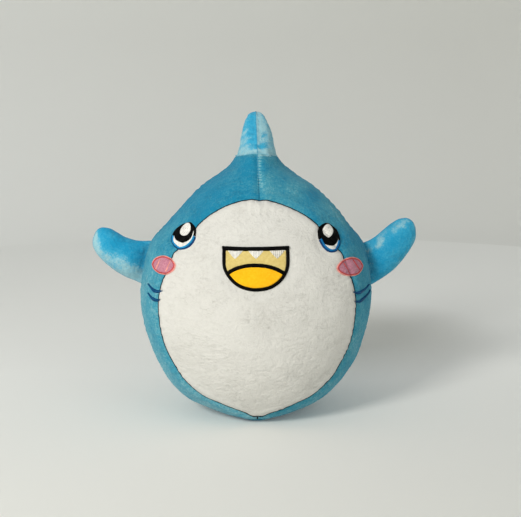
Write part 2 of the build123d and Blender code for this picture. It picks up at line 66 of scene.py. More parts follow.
EYE = {"left": [(-65.9, 197.1), (-63.4, 197.0), (-60.5, 194.9), (-59.0, 192.1), (-58.5, 188.9),
                (-59.1, 184.7), (-61.1, 180.8), (-64.7, 177.0), (-68.3, 174.7), (-72.7, 173.4),
                (-76.4, 173.7), (-79.7, 175.7), (-82.1, 178.7), (-82.6, 181.2), (-81.8, 184.2),
                (-79.4, 188.5), (-76.0, 191.9), (-71.6, 195.0)],
       "right": [(65.7, 195.8), (69.6, 194.6), (73.4, 192.0), (76.9, 188.9), (78.7, 185.5), (79.5, 181.4),
                 (79.2, 177.4), (78.1, 174.0), (76.3, 171.7), (73.6, 170.6), (70.1, 170.6), (66.6, 172.1),
                 (63.2, 175.2), (60.6, 179.0), (58.6, 182.5), (57.6, 186.1), (57.4, 189.1), (58.5, 192.0),
                 (60.9, 194.5)]}
SPLIT = {"left": ((-90.0, 183.0), (-50.0, 186.6)), "right": ((50.0, 184.5), (88.0, 177.6))}
PUPIL = {"left": [(-79.4, 187.0), (-79.2, 185.0), (-78.8, 182.9), (-77.6, 181.0), (-75.5, 179.9), (-72.9, 179.7),
                  (-70.2, 180.0), (-67.2, 180.8), (-64.7, 182.4), (-62.9, 184.6), (-62.0, 187.2), (-61.6, 190.4)],
         "right": [(59.6, 189.6), (59.5, 187.0), (60.2, 183.7), (62.1, 180.1), (65.1, 177.5), (68.9, 176.1),
                   (72.4, 176.2), (75.4, 177.7), (76.8, 180.5), (77.3, 183.6), (77.2, 185.9)]}
GLINT = {"left": (-68.4, 190.6, 6.9, 3.9, 50.0), "right": (67.2, 188.8, 5.7, 4.8, -62.0)}
CHEEK = {"left": [(-101.3, 155.2), (-98.4, 160.9), (-92.8, 164.6), (-86.6, 165.2), (-80.8, 162.8), (-77.9, 158.6),
                  (-80.0, 153.4), (-85.6, 149.6), (-92.2, 148.6), (-98.4, 150.6)],
         "right": [(75.1, 156.0), (79.8, 161.3), (89.5, 163.2), (98.6, 160.0), (103.6, 152.2),
                   (97.8, 146.6), (86.8, 146.8), (78.4, 150.6)]}
CHEEK_LINES = {"left": [((-93.1, 161.3), (-97.0, 151.9)), ((-84.1, 161.7), (-88.2, 151.5))],
               "right": [((81.5, 159.3), (88.9, 149.2)), ((91.5, 160.8), (99.3, 150.0))]}
GILLS = {"left": [[(-104.6, 136.4), (-99.7, 132.9), (-95.6, 131.6), (-89.7, 133.7)],
                  [(-104.4, 127.9), (-101.0, 125.0), (-96.9, 123.2), (-91.9, 125.1)]],
         "right": [[(109.8, 132.6), (105.2, 130.0), (101.5, 129.2), (98.4, 128.9), (95.3, 129.5), (92.4, 130.7), (90.0, 131.6)],
                   [(111.0, 127.0), (109.0, 124.5), (104.3, 121.9), (100.8, 120.9), (97.6, 120.5), (94.5, 121.5), (91.6, 122.4)]]}
FIN_U = [-4.0, 2.8, 8, 16, 26, 36, 44, 50, 54, 56.3, 57.4]
FIN_LO = {"left": [0.6, 1.2, 2.3, 3.5, 6.4, 10.8, 15.4, 19.9, 24.2, 28.2, 33.2],
          "right": [-3.0, -1.6, 0.0, 2.9, 7.2, 14.0, 20.8, 26.8, 31.8, 37.0, 44.0]}
FIN_HI = {"left": [46.0, 44.6, 43.2, 42.2, 42.9, 46.0, 48.1, 47.6, 45.3, 41.4, 34.4],
          "right": [41.4, 41.7, 42.4, 44.9, 50.1, 54.8, 56.9, 56.3, 53.6, 50.2, 45.0]}
FIN_H = [2.6, 4.4, 7.6, 11.4, 13.2, 12.6, 10.8, 8.4, 5.6, 3.2, 0.6]
TOP_Z = [256.0, 259, 263.3, 267.4, 271.5, 275.6, 279.7, 283.8, 287.9, 292, 296, 298.6, 299.8]
TOP_W = [19.9, 18.6, 17.4, 16.6, 16.3, 15.6, 14.6, 13.3, 11.7, 9.8, 7.2, 4.4, 1.6]
TOP_F = [-15.9, -12.4, -8.8, -5.4, -2.4, 0.8, 3.6, 6.4, 9.3, 12.3, 15.6, 18.4, 20.6]
TOP_B = [45.9, 43.0, 40.0, 37.6, 35.8, 34.6, 33.6, 32.8, 32.0, 31.0, 29.4, 27.6, 25.6]
TAIL_UP = [(92.0, 62.0, 10.5, 8.0), (95.4, 62.2, 10.8, 9.0), (100.4, 62.6, 11.4, 9.6), (107.0, 64.4, 12.0, 9.8),
           (117.0, 69.5, 12.0, 9.6), (127.0, 77.5, 11.6, 8.8), (136.0, 87.5, 9.4, 7.0),
           (142.0, 96.0, 6.0, 4.4), (144.6, 100.2, 2.0, 1.2)]
TAIL_DN = [(92.0, 62.0, 10.5, 8.0), (95.4, 61.8, 10.8, 9.0), (100.4, 61.4, 11.4, 9.6), (107.0, 59.4, 12.0, 9.8),
           (116.0, 54.0, 11.6, 9.4), (124.5, 46.5, 10.4, 8.4), (131.0, 38.5, 8.0, 6.4),
           (135.0, 31.6, 5.0, 4.0), (136.8, 28.2, 1.6, 1.0)]
SIDE_Y = 2.0
BASE_Z = 3.0
NECK_Z = 256.0
CX, CZ = 270.0, 112.0            # middle of the front, in the (angle, height) chart
DEG_MM = 1.9


# ------------------------------------------------------------------ numeric helpers
def pchip(xk, yk, x):
    xk = np.asarray(xk, float); yk = np.asarray(yk, float)
    h = np.diff(xk); d = np.diff(yk) / h
    m = np.zeros(len(xk))
    for i in range(1, len(xk) - 1):
        if d[i - 1] * d[i] > 0:
            w1, w2 = 2 * h[i] + h[i - 1], h[i] + 2 * h[i - 1]
            m[i] = (w1 + w2) / (w1 / d[i - 1] + w2 / d[i])
    m[0] = ((2 * h[0] + h[1]) * d[0] - h[0] * d[1]) / (h[0] + h[1])
    m[-1] = ((2 * h[-1] + h[-2]) * d[-1] - h[-1] * d[-2]) / (h[-1] + h[-2])
    x = np.asarray(x, float)
    k = np.clip(np.searchsorted(xk, x, side="right") - 1, 0, len(xk) - 2)
    t = np.clip((x - xk[k]) / h[k], 0, 1)
    return ((2 * t**3 - 3 * t**2 + 1) * yk[k] + (t**3 - 2 * t**2 + t) * h[k] * m[k]
            + (-2 * t**3 + 3 * t**2) * yk[k + 1] + (t**3 - t**2) * h[k] * m[k + 1])


def smooth(x):
    x = np.clip(x, 0, 1)
    return x * x * (3 - 2 * x)


_TABLE = np.random.default_rng(11).random(65536).astype(np.float32)


def noise(p, scale, seed=0):
    """Smooth value noise from -1 to 1 at points p (N, 3); scale is its grain in mm."""
    q = np.asarray(p, float) / scale + 17.3 + seed * 3.7
    i = np.floor(q).astype(np.int64)
    f = q - i
    f = f * f * f * (f * (f * 6 - 15) + 10)
    out = np.zeros(len(q))
    for a in (0, 1):
        for b in (0, 1):
            for c in (0, 1):
                h = ((i[:, 0] + a) * 73856093) ^ ((i[:, 1] + b) * 19349663) ^ ((i[:, 2] + c) * 83492791) ^ (seed * 2654435)
                w = (f[:, 0] if a else 1 - f[:, 0]) * (f[:, 1] if b else 1 - f[:, 1]) * (f[:, 2] if c else 1 - f[:, 2])
                out += w * _TABLE[(h ^ (h >> 13)) & 65535]
    return 2 * out - 1


def fbm(p, scale, seed=0, octaves=3):
    v, a, t = 0.0, 1.0, 0.0
    for k in range(octaves):
        v = v + a * noise(p, scale / 2**k, seed + k)
        t += a
        a *= 0.55
    return v / t


def resample(points, n, is_closed=False):
    p = np.asarray(points, float)
    if is_closed:
        p = np.vstack([p, p[:1]])
    s = np.concatenate([[0], np.cumsum(np.linalg.norm(np.diff(p, axis=0), axis=1))])
    q = np.linspace(0, s[-1], n, endpoint=not is_closed)
    return np.stack([np.interp(q, s, p[:, k]) for k in range(p.shape[1])], 1)


def curve(points, n, is_closed=False):
    """A smooth curve through the points (Catmull-Rom), evenly resampled."""
    p = np.asarray(points, float)
    m = len(p)
    if is_closed:
        idx = lambda k: p[k % m]
        spans = m
    else:
        ext = np.vstack([2 * p[0] - p[1], p, 2 * p[-1] - p[-2]])
        idx = lambda k: ext[k + 1]
        spans = m - 1
    t = np.linspace(0, 1, 16, endpoint=False)[:, None]
    out = []
    for k in range(spans):
        a, b, c, d = idx(k - 1), idx(k), idx(k + 1), idx(k + 2)
        out.append(0.5 * (2 * b + (c - a) * t + (2 * a - 5 * b + 4 * c - d) * t**2 + (3 * b - 3 * c + d - a) * t**3))
    out = np.vstack(out + ([] if is_closed else [p[-1:]]))
    return resample(out, n, is_closed)


# ------------------------------------------------------------------ the body's surface
def chart(t, z):
    """Body surface point for an angle t (degrees, 270 = front) and a height z, without detail."""
    t = np.radians(np.asarray(t, float)); z = np.asarray(z, float)
    a, yf, yb = pchip(ZK, A_, z), pchip(ZK, YF_, z), pchip(ZK, YB_, z)
    yw, n, x0 = pchip(ZK, YW_, z), pchip(ZK, NN_, z), pchip(ZK, X0_, z)
    c, s = np.cos(t), np.sin(t)
    x = x0 + a * np.sign(c) * np.abs(c) ** (2 / n)
    q = np.sign(s) * np.abs(s) ** (2 / n)
    y = yw + np.where(q < 0, yw - yf, yb - yw) * q
    return np.stack([x, y, z], -1)


def chart_of(x, z):
    """The angle of the front surface point above (x, z)."""
    a, n, x0 = pchip(ZK, A_, z), pchip(ZK, NN_, z), pchip(ZK, X0_, z)
    c = np.clip(np.abs(x - x0) / a, 0, 0.9999) ** (n / 2) * np.sign(x - x0)
    return 360.0 - np.degrees(np.arccos(np.clip(c, -1, 1)))


def neck_lift(s):
    """The neck seam bows up at the front; s is the sine of the angle (-1 = front)."""
    return 4.2 * np.clip(-np.asarray(s, float), 0, 1) ** 1.5


def lifted(t, z):
    return z + neck_lift(np.sin(np.radians(t))) * smooth((z - 234.0) / (NECK_Z - 234.0))


def normals(t, z):
    e = 0.15
    z = np.clip(z, 0.3, 262.6)
    du = chart(t + e, z) - chart(t - e, z)
    dz = chart(t, z + 0.3) - chart(t, z - 0.3)
    n = np.cross(du, dz)
    l = np.linalg.norm(n, axis=-1, keepdims=True)
    return n / np.maximum(l, 1e-9)


br = np.array([(x, z) for z, x in BELLY], float)
belly_xz = np.vstack([br, np.stack([-br[-2:0:-1, 0], br[-2:0:-1, 1]], 1)])
belly_xz = curve(belly_xz, 900, True)
belly_t = np.stack([chart_of(belly_xz[:, 0], belly_xz[:, 1]), belly_xz[:, 1]], 1)


def seam_line(pts, strength, pucker, seed):
    p = np.asarray(pts, float)
    s = np.concatenate([[0], np.cumsum(np.linalg.norm(np.diff(p, axis=0), axis=1))])
    return {"p": p, "s": s, "g": strength, "k": pucker, "seed": seed}


def root_loop(sgn):
    """The ring on the body where a side fin is sewn on."""
    q = np.linspace(0, 2 * np.pi, 120)
    y, z = SIDE_Y + 7.5 * np.cos(q), (150.0 if sgn < 0 else 148.0) + 22.5 * np.sin(q)
    yf, yb, yw, n = pchip(ZK, YF_, z), pchip(ZK, YB_, z), pchip(ZK, YW_, z), pchip(ZK, NN_, z)
    k = np.where(y < yw, (y - yw) / (yw - yf), (y - yw) / (yb - yw))
    a = np.degrees(np.arcsin(np.sign(k) * np.abs(k) ** (n / 2)))
    return chart(180.0 - a if sgn < 0 else 360.0 + a, z)


zz = np.linspace(BASE_Z, NECK_Z, 300)
tt = np.linspace(0, 360, 260)
top_z = np.linspace(219.5, NECK_Z, 60)
low_z = np.linspace(BASE_Z, 7.0, 12)
SEAMS = {
    "belly": seam_line(chart(np.append(belly_t[:, 0], belly_t[0, 0]), np.append(belly_t[:, 1], belly_t[0, 1])), 1.9, 0.55, 1),
    "front": seam_line(chart(np.full(60, 270.0), top_z), 1.8, 0.35, 2),
    "front_low": seam_line(chart(np.full(12, 270.0), low_z), 1.6, 0.3, 3),
    "back": seam_line(chart(np.full(300, 90.0), zz), 1.8, 0.7, 4),
    "side_left": seam_line(chart(np.full(300, 180.0), zz), 1.5, 0.9, 5),
    "side_right": seam_line(chart(np.full(300, 0.0), zz), 1.5, 0.9, 6),
    "base": seam_line(chart(tt, np.full(260, BASE_Z)), 0.9, 0.4, 7),
    "neck": seam_line(chart(tt, lifted(tt, np.full(260, NECK_Z))), 0.6, 0.3, 8),
    "root_left": seam_line(root_loop(-1), 1.7, 0.5, 9),
    "root_right": seam_line(root_loop(1), 1.7, 0.5, 10),
}


def seam_detail(P):
    """Inward groove, soft shoulder and puckers next to every seam: mm along the normal."""
    d = np.zeros(len(P))
    for sm in SEAMS.values():
        q = sm["p"]
        lo, hi = q.min(0) - 24, q.max(0) + 24
        near = np.where(np.all((P > lo) & (P < hi), axis=1))[0]
        for c in range(0, len(near), 6000):
            k = near[c:c + 6000]
            D = np.linalg.norm(P[k, None, :].astype(np.float32) - q[None].astype(np.float32), axis=2)
            j = D.argmin(1)
            ds = D[np.arange(len(k)), j]
            s = sm["s"][j]
            w = np.exp(-(ds / 2.1) ** 1.25)
            sp = np.stack([s, np.zeros_like(s), np.zeros_like(s)], 1)
            amp = 0.5 + 0.9 * np.clip(noise(sp, 17.0, 40 + sm["seed"]), -0.5, 1)
            wave = np.sin(2 * np.pi * (s / 7.5 + 0.55 * noise(sp, 13.0, 50 + sm["seed"])))
            reach = 5.0 + 4.0 * (noise(sp, 21.0, 60 + sm["seed"]) + 1)
            v = -sm["g"] * w + 0.55 * np.exp(-((ds - 7.0) / 4.0) ** 2)
            v += sm["k"] * amp * wave * np.exp(-ds / reach) * (1 - 0.8 * w)
            d[k] += v
    return d


def body_detail(P):
    lump = 1.1 * noise(P, 46.0, 3) + 0.55 * noise(P, 21.0, 4)
    fade = smooth((P[:, 2] - 1.0) / 14.0)
    return lump * fade + seam_detail(P) * np.where(P[:, 2] < 8, 0.6, 1.0)


def pile(P, amp=0.34, seed=0):
    return amp * (0.62 * noise(P, 1.9, 20 + seed) + 0.38 * noise(P, 3.6, 21 + seed))


def face_press(x, z, y):
    """The embroidery pulls the fabric in a little where it is stitched."""
    d = np.zeros(len(x))
    for cx, cz, rx, rz, k in ((-1.8, 159.0, 36.0, 24.0, 1.3), (-70.5, 185.3, 15.0, 14.5, 1.0), (68.5, 183.5, 14.0, 15.5, 1.0),
                              (-89.8, 157.0, 14.0, 10.5, 0.8), (89.5, 155.0, 16.0, 10.5, 0.8)):
        r = np.sqrt(((x - cx) / rx) ** 2 + ((z - cz) / rz) ** 2)
        d -= k * (1 - smooth((r - 0.85) / 0.35))
    return np.where(y < 0, d, 0.0)


def body_points(t, z, fuzz=True):
    sh = np.shape(t)
    t = np.ravel(t).astype(float); z = np.ravel(z).astype(float)
    z = lifted(t, z)
    P, N = chart(t, z), normals(t, z)
    d = body_detail(P) + face_press(P[:, 0], P[:, 2], P[:, 1])
    if fuzz:
        d = d + pile(P)
    Q = P + N * d[:, None]
    Q[:, 2] = np.maximum(Q[:, 2], 0.15)
    return Q.reshape(sh + (3,)), N.reshape(sh + (3,))


def on_face(xz, h):
    """Points on the face surface (without pile), lifted by h."""
    xz = np.asarray(xz, float)
    t = chart_of(xz[:, 0], xz[:, 1])
    Q, N = body_points(t, xz[:, 1], fuzz=False)
    return Q + N * np.reshape(h, (-1, 1))


# ------------------------------------------------------------------ meshes
def make(name, verts, faces, mat, attrs=None, smooth_shade=True):
    me = bpy.data.meshes.new(name)
    me.from_pydata((np.asarray(verts) / 1000.0).tolist(), [], [tuple(int(i) for i in f) for f in faces])
    me.validate()
    me.update()
    if smooth_shade:
        me.polygons.foreach_set("use_smooth", [True] * len(me.polygons))
    for k, v in (attrs or {}).items():
        a = me.attributes.new(k, "FLOAT", "POINT")
        a.data.foreach_set("value", np.asarray(v, np.float32))
    ob = bpy.data.objects.new(name, me)
    bpy.context.scene.collection.objects.link(ob)
    me.materials.append(mat)
    return ob


def grid_faces(nr, nc, wrap=False, base=0):
    """Quads of a grid with nr rows and nc columns; wrap joins the last column to the first."""
    i = np.arange(nr - 1)[:, None]
    j = np.arange(nc if wrap else nc - 1)[None, :]
    a = base + i * nc + j
    b = base + i * nc + (j + 1) % nc
    c = base + (i + 1) * nc + (j + 1) % nc
    d = base + (i + 1) * nc + j
    return np.stack([a + 0 * b, b + 0 * a, c + 0 * a, d + 0 * b], -1).reshape(-1, 4)


# ------------------------------------------------------------------ materials
def lin(c):
    c = np.array(c, float) / 255.0
    return tuple(np.where(c <= 0.04045, c / 12.92, ((c + 0.055) / 1.055) ** 2.4)) + (1.0,)


def new_mat(name, rough=0.9, sheen=0.0, sheen_rough=0.5, sheen_tint=(1, 1, 1, 1), spec=0.2):
    m = bpy.data.materials.new(name)
    m.use_nodes = True
    nt = m.node_tree
    bs = nt.nodes["Principled BSDF"]
    bs.inputs["Roughness"].default_value = rough
    bs.inputs["Specular IOR Level"].default_value = spec
    bs.inputs["Sheen Weight"].default_value = sheen
    bs.inputs["Sheen Roughness"].default_value = sheen_rough
    bs.inputs["Sheen Tint"].default_value = sheen_tint
    return m, nt, bs


def node(nt, kind, **kw):
    n = nt.nodes.new(kind)
    for k, v in kw.items():
        setattr(n, k, v)
    return n


def mixc(nt, fac, a, b, blend="MIX"):
    m = node(nt, "ShaderNodeMix", data_type="RGBA", blend_type=blend)
    for sock, v in ((m.inputs[0], fac), (m.inputs[6], a), (m.inputs[7], b)):
        if hasattr(v, "is_linked") or hasattr(v, "links"):
            nt.links.new(v, sock)
        else:
            sock.default_value = v
    return m.outputs[2]


def noise_tex(nt, scale, detail=3.0, rough=0.6, stretch=None, distortion=0.0):
    co = node(nt, "ShaderNodeTexCoord")
    src = co.outputs["Object"]
    if stretch:
        mp = node(nt, "ShaderNodeMapping")
        mp.inputs["Scale"].default_value = stretch
        nt.links.new(src, mp.inputs["Vector"])
        src = mp.outputs["Vector"]
    n = node(nt, "ShaderNodeTexNoise")
    n.inputs["Scale"].default_value = scale
    n.inputs["Detail"].default_value = detail
    n.inputs["Roughness"].default_value = rough
    n.inputs["Distortion"].default_value = distortion
    nt.links.new(src, n.inputs["Vector"])
    return n.outputs["Fac"]


def ramp(nt, fac, lo, hi, a=0.0, b=1.0):
    r = node(nt, "ShaderNodeMapRange")
    r.inputs["From Min"].default_value = lo
    r.inputs["From Max"].default_value = hi
    r.inputs["To Min"].default_value = a
    r.inputs["To Max"].default_value = b
    nt.links.new(fac, r.inputs["Value"])
    return r.outputs["Result"]


def bump(nt, bs, height, strength, dist):
    b = node(nt, "ShaderNodeBump")
    b.inputs["Strength"].default_value = strength
    b.inputs["Distance"].default_value = dist
    nt.links.new(height, b.inputs["Height"])
    nt.links.new(b.outputs["Normal"], bs.inputs["Normal"])


def plush(name, deep, mid, light, dark, sheen=0.5, tint=(0.85, 0.93, 1.0, 1), cracks=0.25, speckle=0.24):
    """Short minky: the nap attribute brushes the pile from deep to light; the fibres speckle it and the pile
    parts along thin darker lines."""
    m, nt, bs = new_mat(name, 0.95, sheen, 0.5, tint, 0.05)
    at = node(nt, "ShaderNodeAttribute", attribute_name="nap")
    fibre = noise_tex(nt, 640.0, 3.0, 0.65)
    tuft = noise_tex(nt, 260.0, 2.0, 0.55)
    broad = noise_tex(nt, 34.0, 3.0, 0.6)
    level = noise_tex(nt, 120.0, 3.0, 0.6, (0.8, 0.8, 1.7), 0.5)
    where = noise_tex(nt, 60.0, 2.0, 0.5)

    def add(a, b, op="ADD", clamp=False):
        k = node(nt, "ShaderNodeMath", operation=op, use_clamp=clamp)
        for sock, v in ((k.inputs[0], a), (k.inputs[1], b)):
            if hasattr(v, "links"):
                nt.links.new(v, sock)
            else:
                sock.default_value = v
        return k.outputs[0]

    nap = add(at.outputs["Fac"], ramp(nt, broad, 0.3, 0.7, -0.1, 0.1))
    nap = add(nap, ramp(nt, fibre, 0.32, 0.68, -speckle, speckle))
    nap = add(nap, ramp(nt, tuft, 0.32, 0.68, -0.6 * speckle, 0.6 * speckle), clamp=True)
    c = mixc(nt, ramp(nt, nap, 0.0, 0.5), lin(deep), lin(mid))
    c = mixc(nt, ramp(nt, nap, 0.5, 1.0), c, lin(light))
    off = add(add(level, 0.5, "SUBTRACT"), 0.0, "ABSOLUTE")
    line = add(ramp(nt, off, 0.0, 0.03, 1.0, 0.0), ramp(nt, where, 0.46, 0.6, 0.0, 1.0), "MULTIPLY")
    c = mixc(nt, add(line, cracks, "MULTIPLY"), c, lin(dark))
    nt.links.new(c, bs.inputs["Base Color"])
    h = add(ramp(nt, tuft, 0.25, 0.75, 0.0, 0.8), ramp(nt, fibre, 0.3, 0.7, 0.0, 0.6))
    h = add(h, add(line, 0.5, "MULTIPLY"), "SUBTRACT")
    bump(nt, bs, h, 0.5, 0.0008)
    return m


def satin(name, rgb, rough=0.42, sheen=0.15, vary=0.12, spec=0.4, gap_shade=0.45):
    """Satin stitch: glossy threads; the thread attribute paints shade into the gaps between them."""
    m, nt, bs = new_mat(name, rough, sheen, 0.4, (1, 1, 1, 1), spec)
    at = node(nt, "ShaderNodeAttribute", attribute_name="thread")
    # painted shade: the gaps between threads are darkened in the colour itself, by the factor gap_shade
    dark = tuple(c * gap_shade for c in lin(rgb)[:3]) + (1.0,)
    n = noise_tex(nt, 260.0, 2.0)
    c = mixc(nt, ramp(nt, at.outputs["Fac"], 0.0, 0.8, 0.0, 1.0), dark, lin(rgb))
    lite = tuple(min(1.0, k * (1 + 2 * vary) + 0.001) for k in lin(rgb)[:3]) + (1.0,)
    c = mixc(nt, ramp(nt, n, 0.4, 0.65, 0.0, 0.6), c, lite)
    nt.links.new(c, bs.inputs["Base Color"])
    bump(nt, bs, noise_tex(nt, 900.0, 2.0), 0.15, 0.0004)
    return m


def cloth(name, rgb, rgb2, scale=420.0):
    """Applique cloth, a fine matte felt."""
    m, nt, bs = new_mat(name, 0.9, 0.25, 0.5, (1, 1, 1, 1), 0.12)
    f = noise_tex(nt, scale, 4.0, 0.7)
    b = noise_tex(nt, 60.0, 2.0)
    c = mixc(nt, ramp(nt, f, 0.35, 0.7), lin(rgb), lin(rgb2))
    c = mixc(nt, ramp(nt, b, 0.4, 0.7, 0.0, 0.25), c, lin(tuple(int(k * 0.9) for k in rgb)))
    nt.links.new(c, bs.inputs["Base Color"])
    bump(nt, bs, f, 0.5, 0.0005)
    return m


BLUE = plush("blue_minky", (28, 126, 160), (72, 150, 170), (140, 186, 194), (20, 84, 108), 0.16, (0.6, 0.85, 1.0, 1), 0.28, 0.2)
FINB = plush("fin_minky", (34, 148, 190), (66, 164, 198), (150, 194, 204), (16, 98, 136), 0.16, (0.6, 0.85, 1.0, 1), 0.16, 0.2)
WHITE = plush("white_minky", (192, 189, 182), (211, 209, 203), (219, 217, 211), (168, 165, 157), 0.1, (1, 1, 1, 1), 0.26, 0.15)
# painted shade: a near-black seam thread that shows the thread and also the shade in its groove
SEAM_SHADE_THREAD = satin("seam_thread_painted_shade", (12, 22, 34), 0.8, 0.0, spec=0.1)
SEAMBLUE = satin("seam_thread_blue", (30, 110, 138), 0.8, 0.1, spec=0.15)
SEAMPALE = satin("seam_thread_pale", (74, 156, 190), 0.8, 0.1, spec=0.15)
SEAMLIGHT = satin("seam_thread_light", (128, 190, 206), 0.8, 0.15, spec=0.15)
BLACK = satin("satin_black", (3, 3, 3), 0.55, 0.0, spec=0.05)
SATWHITE = satin("satin_white", (236, 233, 226), 0.45, 0.1, 0.05, gap_shade=0.6)
TOOTHWHITE = satin("satin_tooth", (232, 229, 221), 0.45, 0.1, 0.05, gap_shade=0.5)
# painted shade: a darker, greyer copy of the tooth thread with deeper gap shade
TOOTH_SHADED = satin("satin_tooth_painted_shade", (222, 217, 206), 0.45, 0.1, 0.05, gap_shade=0.32)
SATBLUE = satin("satin_blue", (22, 148, 204), 0.5, 0.0, spec=0.15)
# painted shade: a darker copy of the blue eye thread
SATBLUE_SHADED = satin("satin_blue_painted_shade", (4, 116, 180), 0.5, 0.0, spec=0.15)
NAVY = satin("satin_navy", (2, 60, 112), 0.5, 0.0, spec=0.15)
GILL = satin("satin_gill", (0, 72, 118), 0.5, 0.0, spec=0.15)
SALMON = satin("satin_salmon", (196, 72, 74), 0.5, 0.05, spec=0.2)
# painted highlight: a pale copy of the salmon cheek thread
SALMON_HIGHLIGHT = satin("satin_salmon_painted_highlight", (236, 158, 148), 0.5, 0.05, spec=0.2)
BEIGE = cloth("beige_felt", (208, 184, 108), (222, 201, 132))
YELLOW = cloth("yellow_felt", (250, 180, 8), (255, 196, 30))
PINK = cloth("pink_felt", (172, 104, 126), (206, 146, 160), 620.0)

PIECES = []


def finish_piece(ob, body, nodes):
    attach(ob, body)
    if nodes:
        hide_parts(*nodes)
    PIECES.append(ob)
    return ob


# ------------------------------------------------------------------ body panels
# boundary of the front chart, anticlockwise from the left side's foot
STEP = 1.25
side_z = np.linspace(BASE_Z, NECK_Z, int(262 / STEP))
base_t = np.linspace(180, 360, int(150 / STEP))
neck_t = np.linspace(360, 180, int(64 / STEP))
edge = np.vstack([np.stack([base_t, np.full(len(base_t), BASE_Z)], 1),
                  np.stack([np.full(len(side_z) - 1, 360.0), side_z[1:]], 1),
                  np.stack([neck_t[1:], np.full(len(neck_t) - 1, NECK_Z)], 1),
                  np.stack([np.full(len(side_z) - 2, 180.0), side_z[::-1][1:-1]], 1)])
k_low = int(np.argmin(np.abs(edge[:, 0] - 270) + (edge[:, 1] > 50) * 999))
k_top = int(np.argmin(np.abs(edge[:, 0] - 270) + (edge[:, 1] < 200) * 999))
edge[k_low, 0] = 270.0
edge[k_top, 0] = 270.0
ang = np.arctan2(edge[:, 1] - CZ, (edge[:, 0] - CX) * DEG_MM)
bang = np.arctan2(belly_t[:, 1] - CZ, (belly_t[:, 0] - CX) * DEG_MM)
order = np.argsort(bang)
brad = np.hypot((belly_t[:, 0] - CX) * DEG_MM, belly_t[:, 1] - CZ)
rb = np.interp(ang, np.concatenate([bang[order] - 2 * np.pi, bang[order], bang[order] + 2 * np.pi]), np.tile(brad[order], 3))
rim = np.stack([CX + rb * np.cos(ang) / DEG_MM, CZ + rb * np.sin(ang)], 1)
NE = len(edge)
NRING = 84
f = np.linspace(0, 1, NRING)[:, None, None]
ann = rim[None] * (1 - f) + edge[None] * f
ann_P, ann_N = body_points(ann[..., 0], ann[..., 1])


def blue_nap_and_painted_light(P):
    """Where the pile of the blue panels is brushed light, with painted light mixed in: low sides lighter than the
    forehead (brushed pile and painted sheen and bounce light, more on the left), the upper right paler (greyer pile and
    painted light against its shade), and a pale fringe caught in the centre seam."""
    x, y, z = P.T
    v = 0.06 + 0.42 * smooth((218 - z) / 80.0) + 0.16 * smooth((110 - z) / 80.0)
    # painted shade: the low sides' lightening is cut to three quarters on the right side
    v = v * np.where(x < 0, 1.0, 0.75)
    # partly painted light: the upper right is paler for its greyer pile and also to offset the shade there
    v += 0.42 * smooth((x - 1.0) / 6.0) * smooth((z - 176) / 30.0) * (0.75 + 0.5 * noise(P, 15.0, 33))
    v += 0.15 * noise(P * np.array([1, 1, 0.6]), 24.0, 31) + 0.08 * noise(P, 9.0, 32)
    up = (y < 15) & (z > 219)
    comb = 0.5 + 0.5 * np.sin(2 * np.pi * z / 2.5 + 2.2 * noise(P, 5.0, 34))
    v += np.where(up, (0.2 + 0.8 * comb) * 1.05 * np.exp(-((x - 2.6) / 2.4) ** 2) * smooth((z - 222) / 14.0) * (x > 1.0), 0.0)
    hook = np.exp(-((z - NECK_Z - neck_lift(-1.0) + 1.0) / 1.6) ** 2)
    v += np.where(y < 15, 0.5 * hook, 0.0)
    return np.clip(v, 0, 1)


def ring_side(name, idx, nodes):
    cols = np.array(idx)
    P = ann_P[:, cols].reshape(-1, 3)
    F = grid_faces(NRING, len(cols))
    ob = make(name, P, F[:, ::-1], BLUE, {"nap": blue_nap_and_painted_light(P)})
    return finish_piece(ob, "body", nodes)


right_idx = list(range(k_low, k_top + 1))
left_idx = list(range(k_top, NE)) + list(range(0, k_low + 1))
ring_side("side_panel_right_fabric", right_idx, ["side_panel_right"])
ring_side("side_panel_left_fabric", left_idx, ["side_panel_left"])

# belly: a square grid drawn into the panel's outline, evenly fine all over
NA, NB = 226, 252
ga, gb = np.meshgrid(np.linspace(-1, 1, NA), np.linspace(-1, 1, NB))
wide = np.abs(ga) >= np.abs(gb)
rad = np.where(wide, ga, gb)
th_ = np.where(wide, math.pi / 4 * gb / np.where(wide, np.where(ga == 0, 1, ga), 1),
               math.pi / 2 - math.pi / 4 * ga / np.where(wide, 1, np.where(gb == 0, 1, gb)))
bx, bz = rad * np.cos(th_), rad * np.sin(th_)
rb_ = np.interp(np.arctan2(bz, bx), np.concatenate([bang[order] - 2 * np.pi, bang[order], bang[order] + 2 * np.pi]), np.tile(brad[order], 3))
bel_P, bel_N = body_points(CX + bx * rb_ / DEG_MM, CZ + bz * rb_, fuzz=False)
P = bel_P.reshape(-1, 3)
N = bel_N.reshape(-1, 3)
rimw = smooth((1 - np.abs(rad).ravel()) * 14.0)


def partings(P):
    """Short curved creases where the pile parts, running mostly sideways: 0 to 1."""
    w = P * np.array([0.5, 0.5, 1.25])
    n1 = noise(w, 5.2, 120) + 0.35 * noise(w, 2.6, 121)
    n2 = noise(w, 8.5, 122) + 0.3 * noise(w, 3.4, 123)
    m1 = smooth((noise(P, 24.0, 124) + 0.25) / 0.6)
    m2 = smooth((noise(P, 30.0, 125) + 0.1) / 0.6)
    return np.maximum(np.exp(-(n1 / 0.13) ** 2) * m1, np.exp(-(n2 / 0.09) ** 2) * m2)


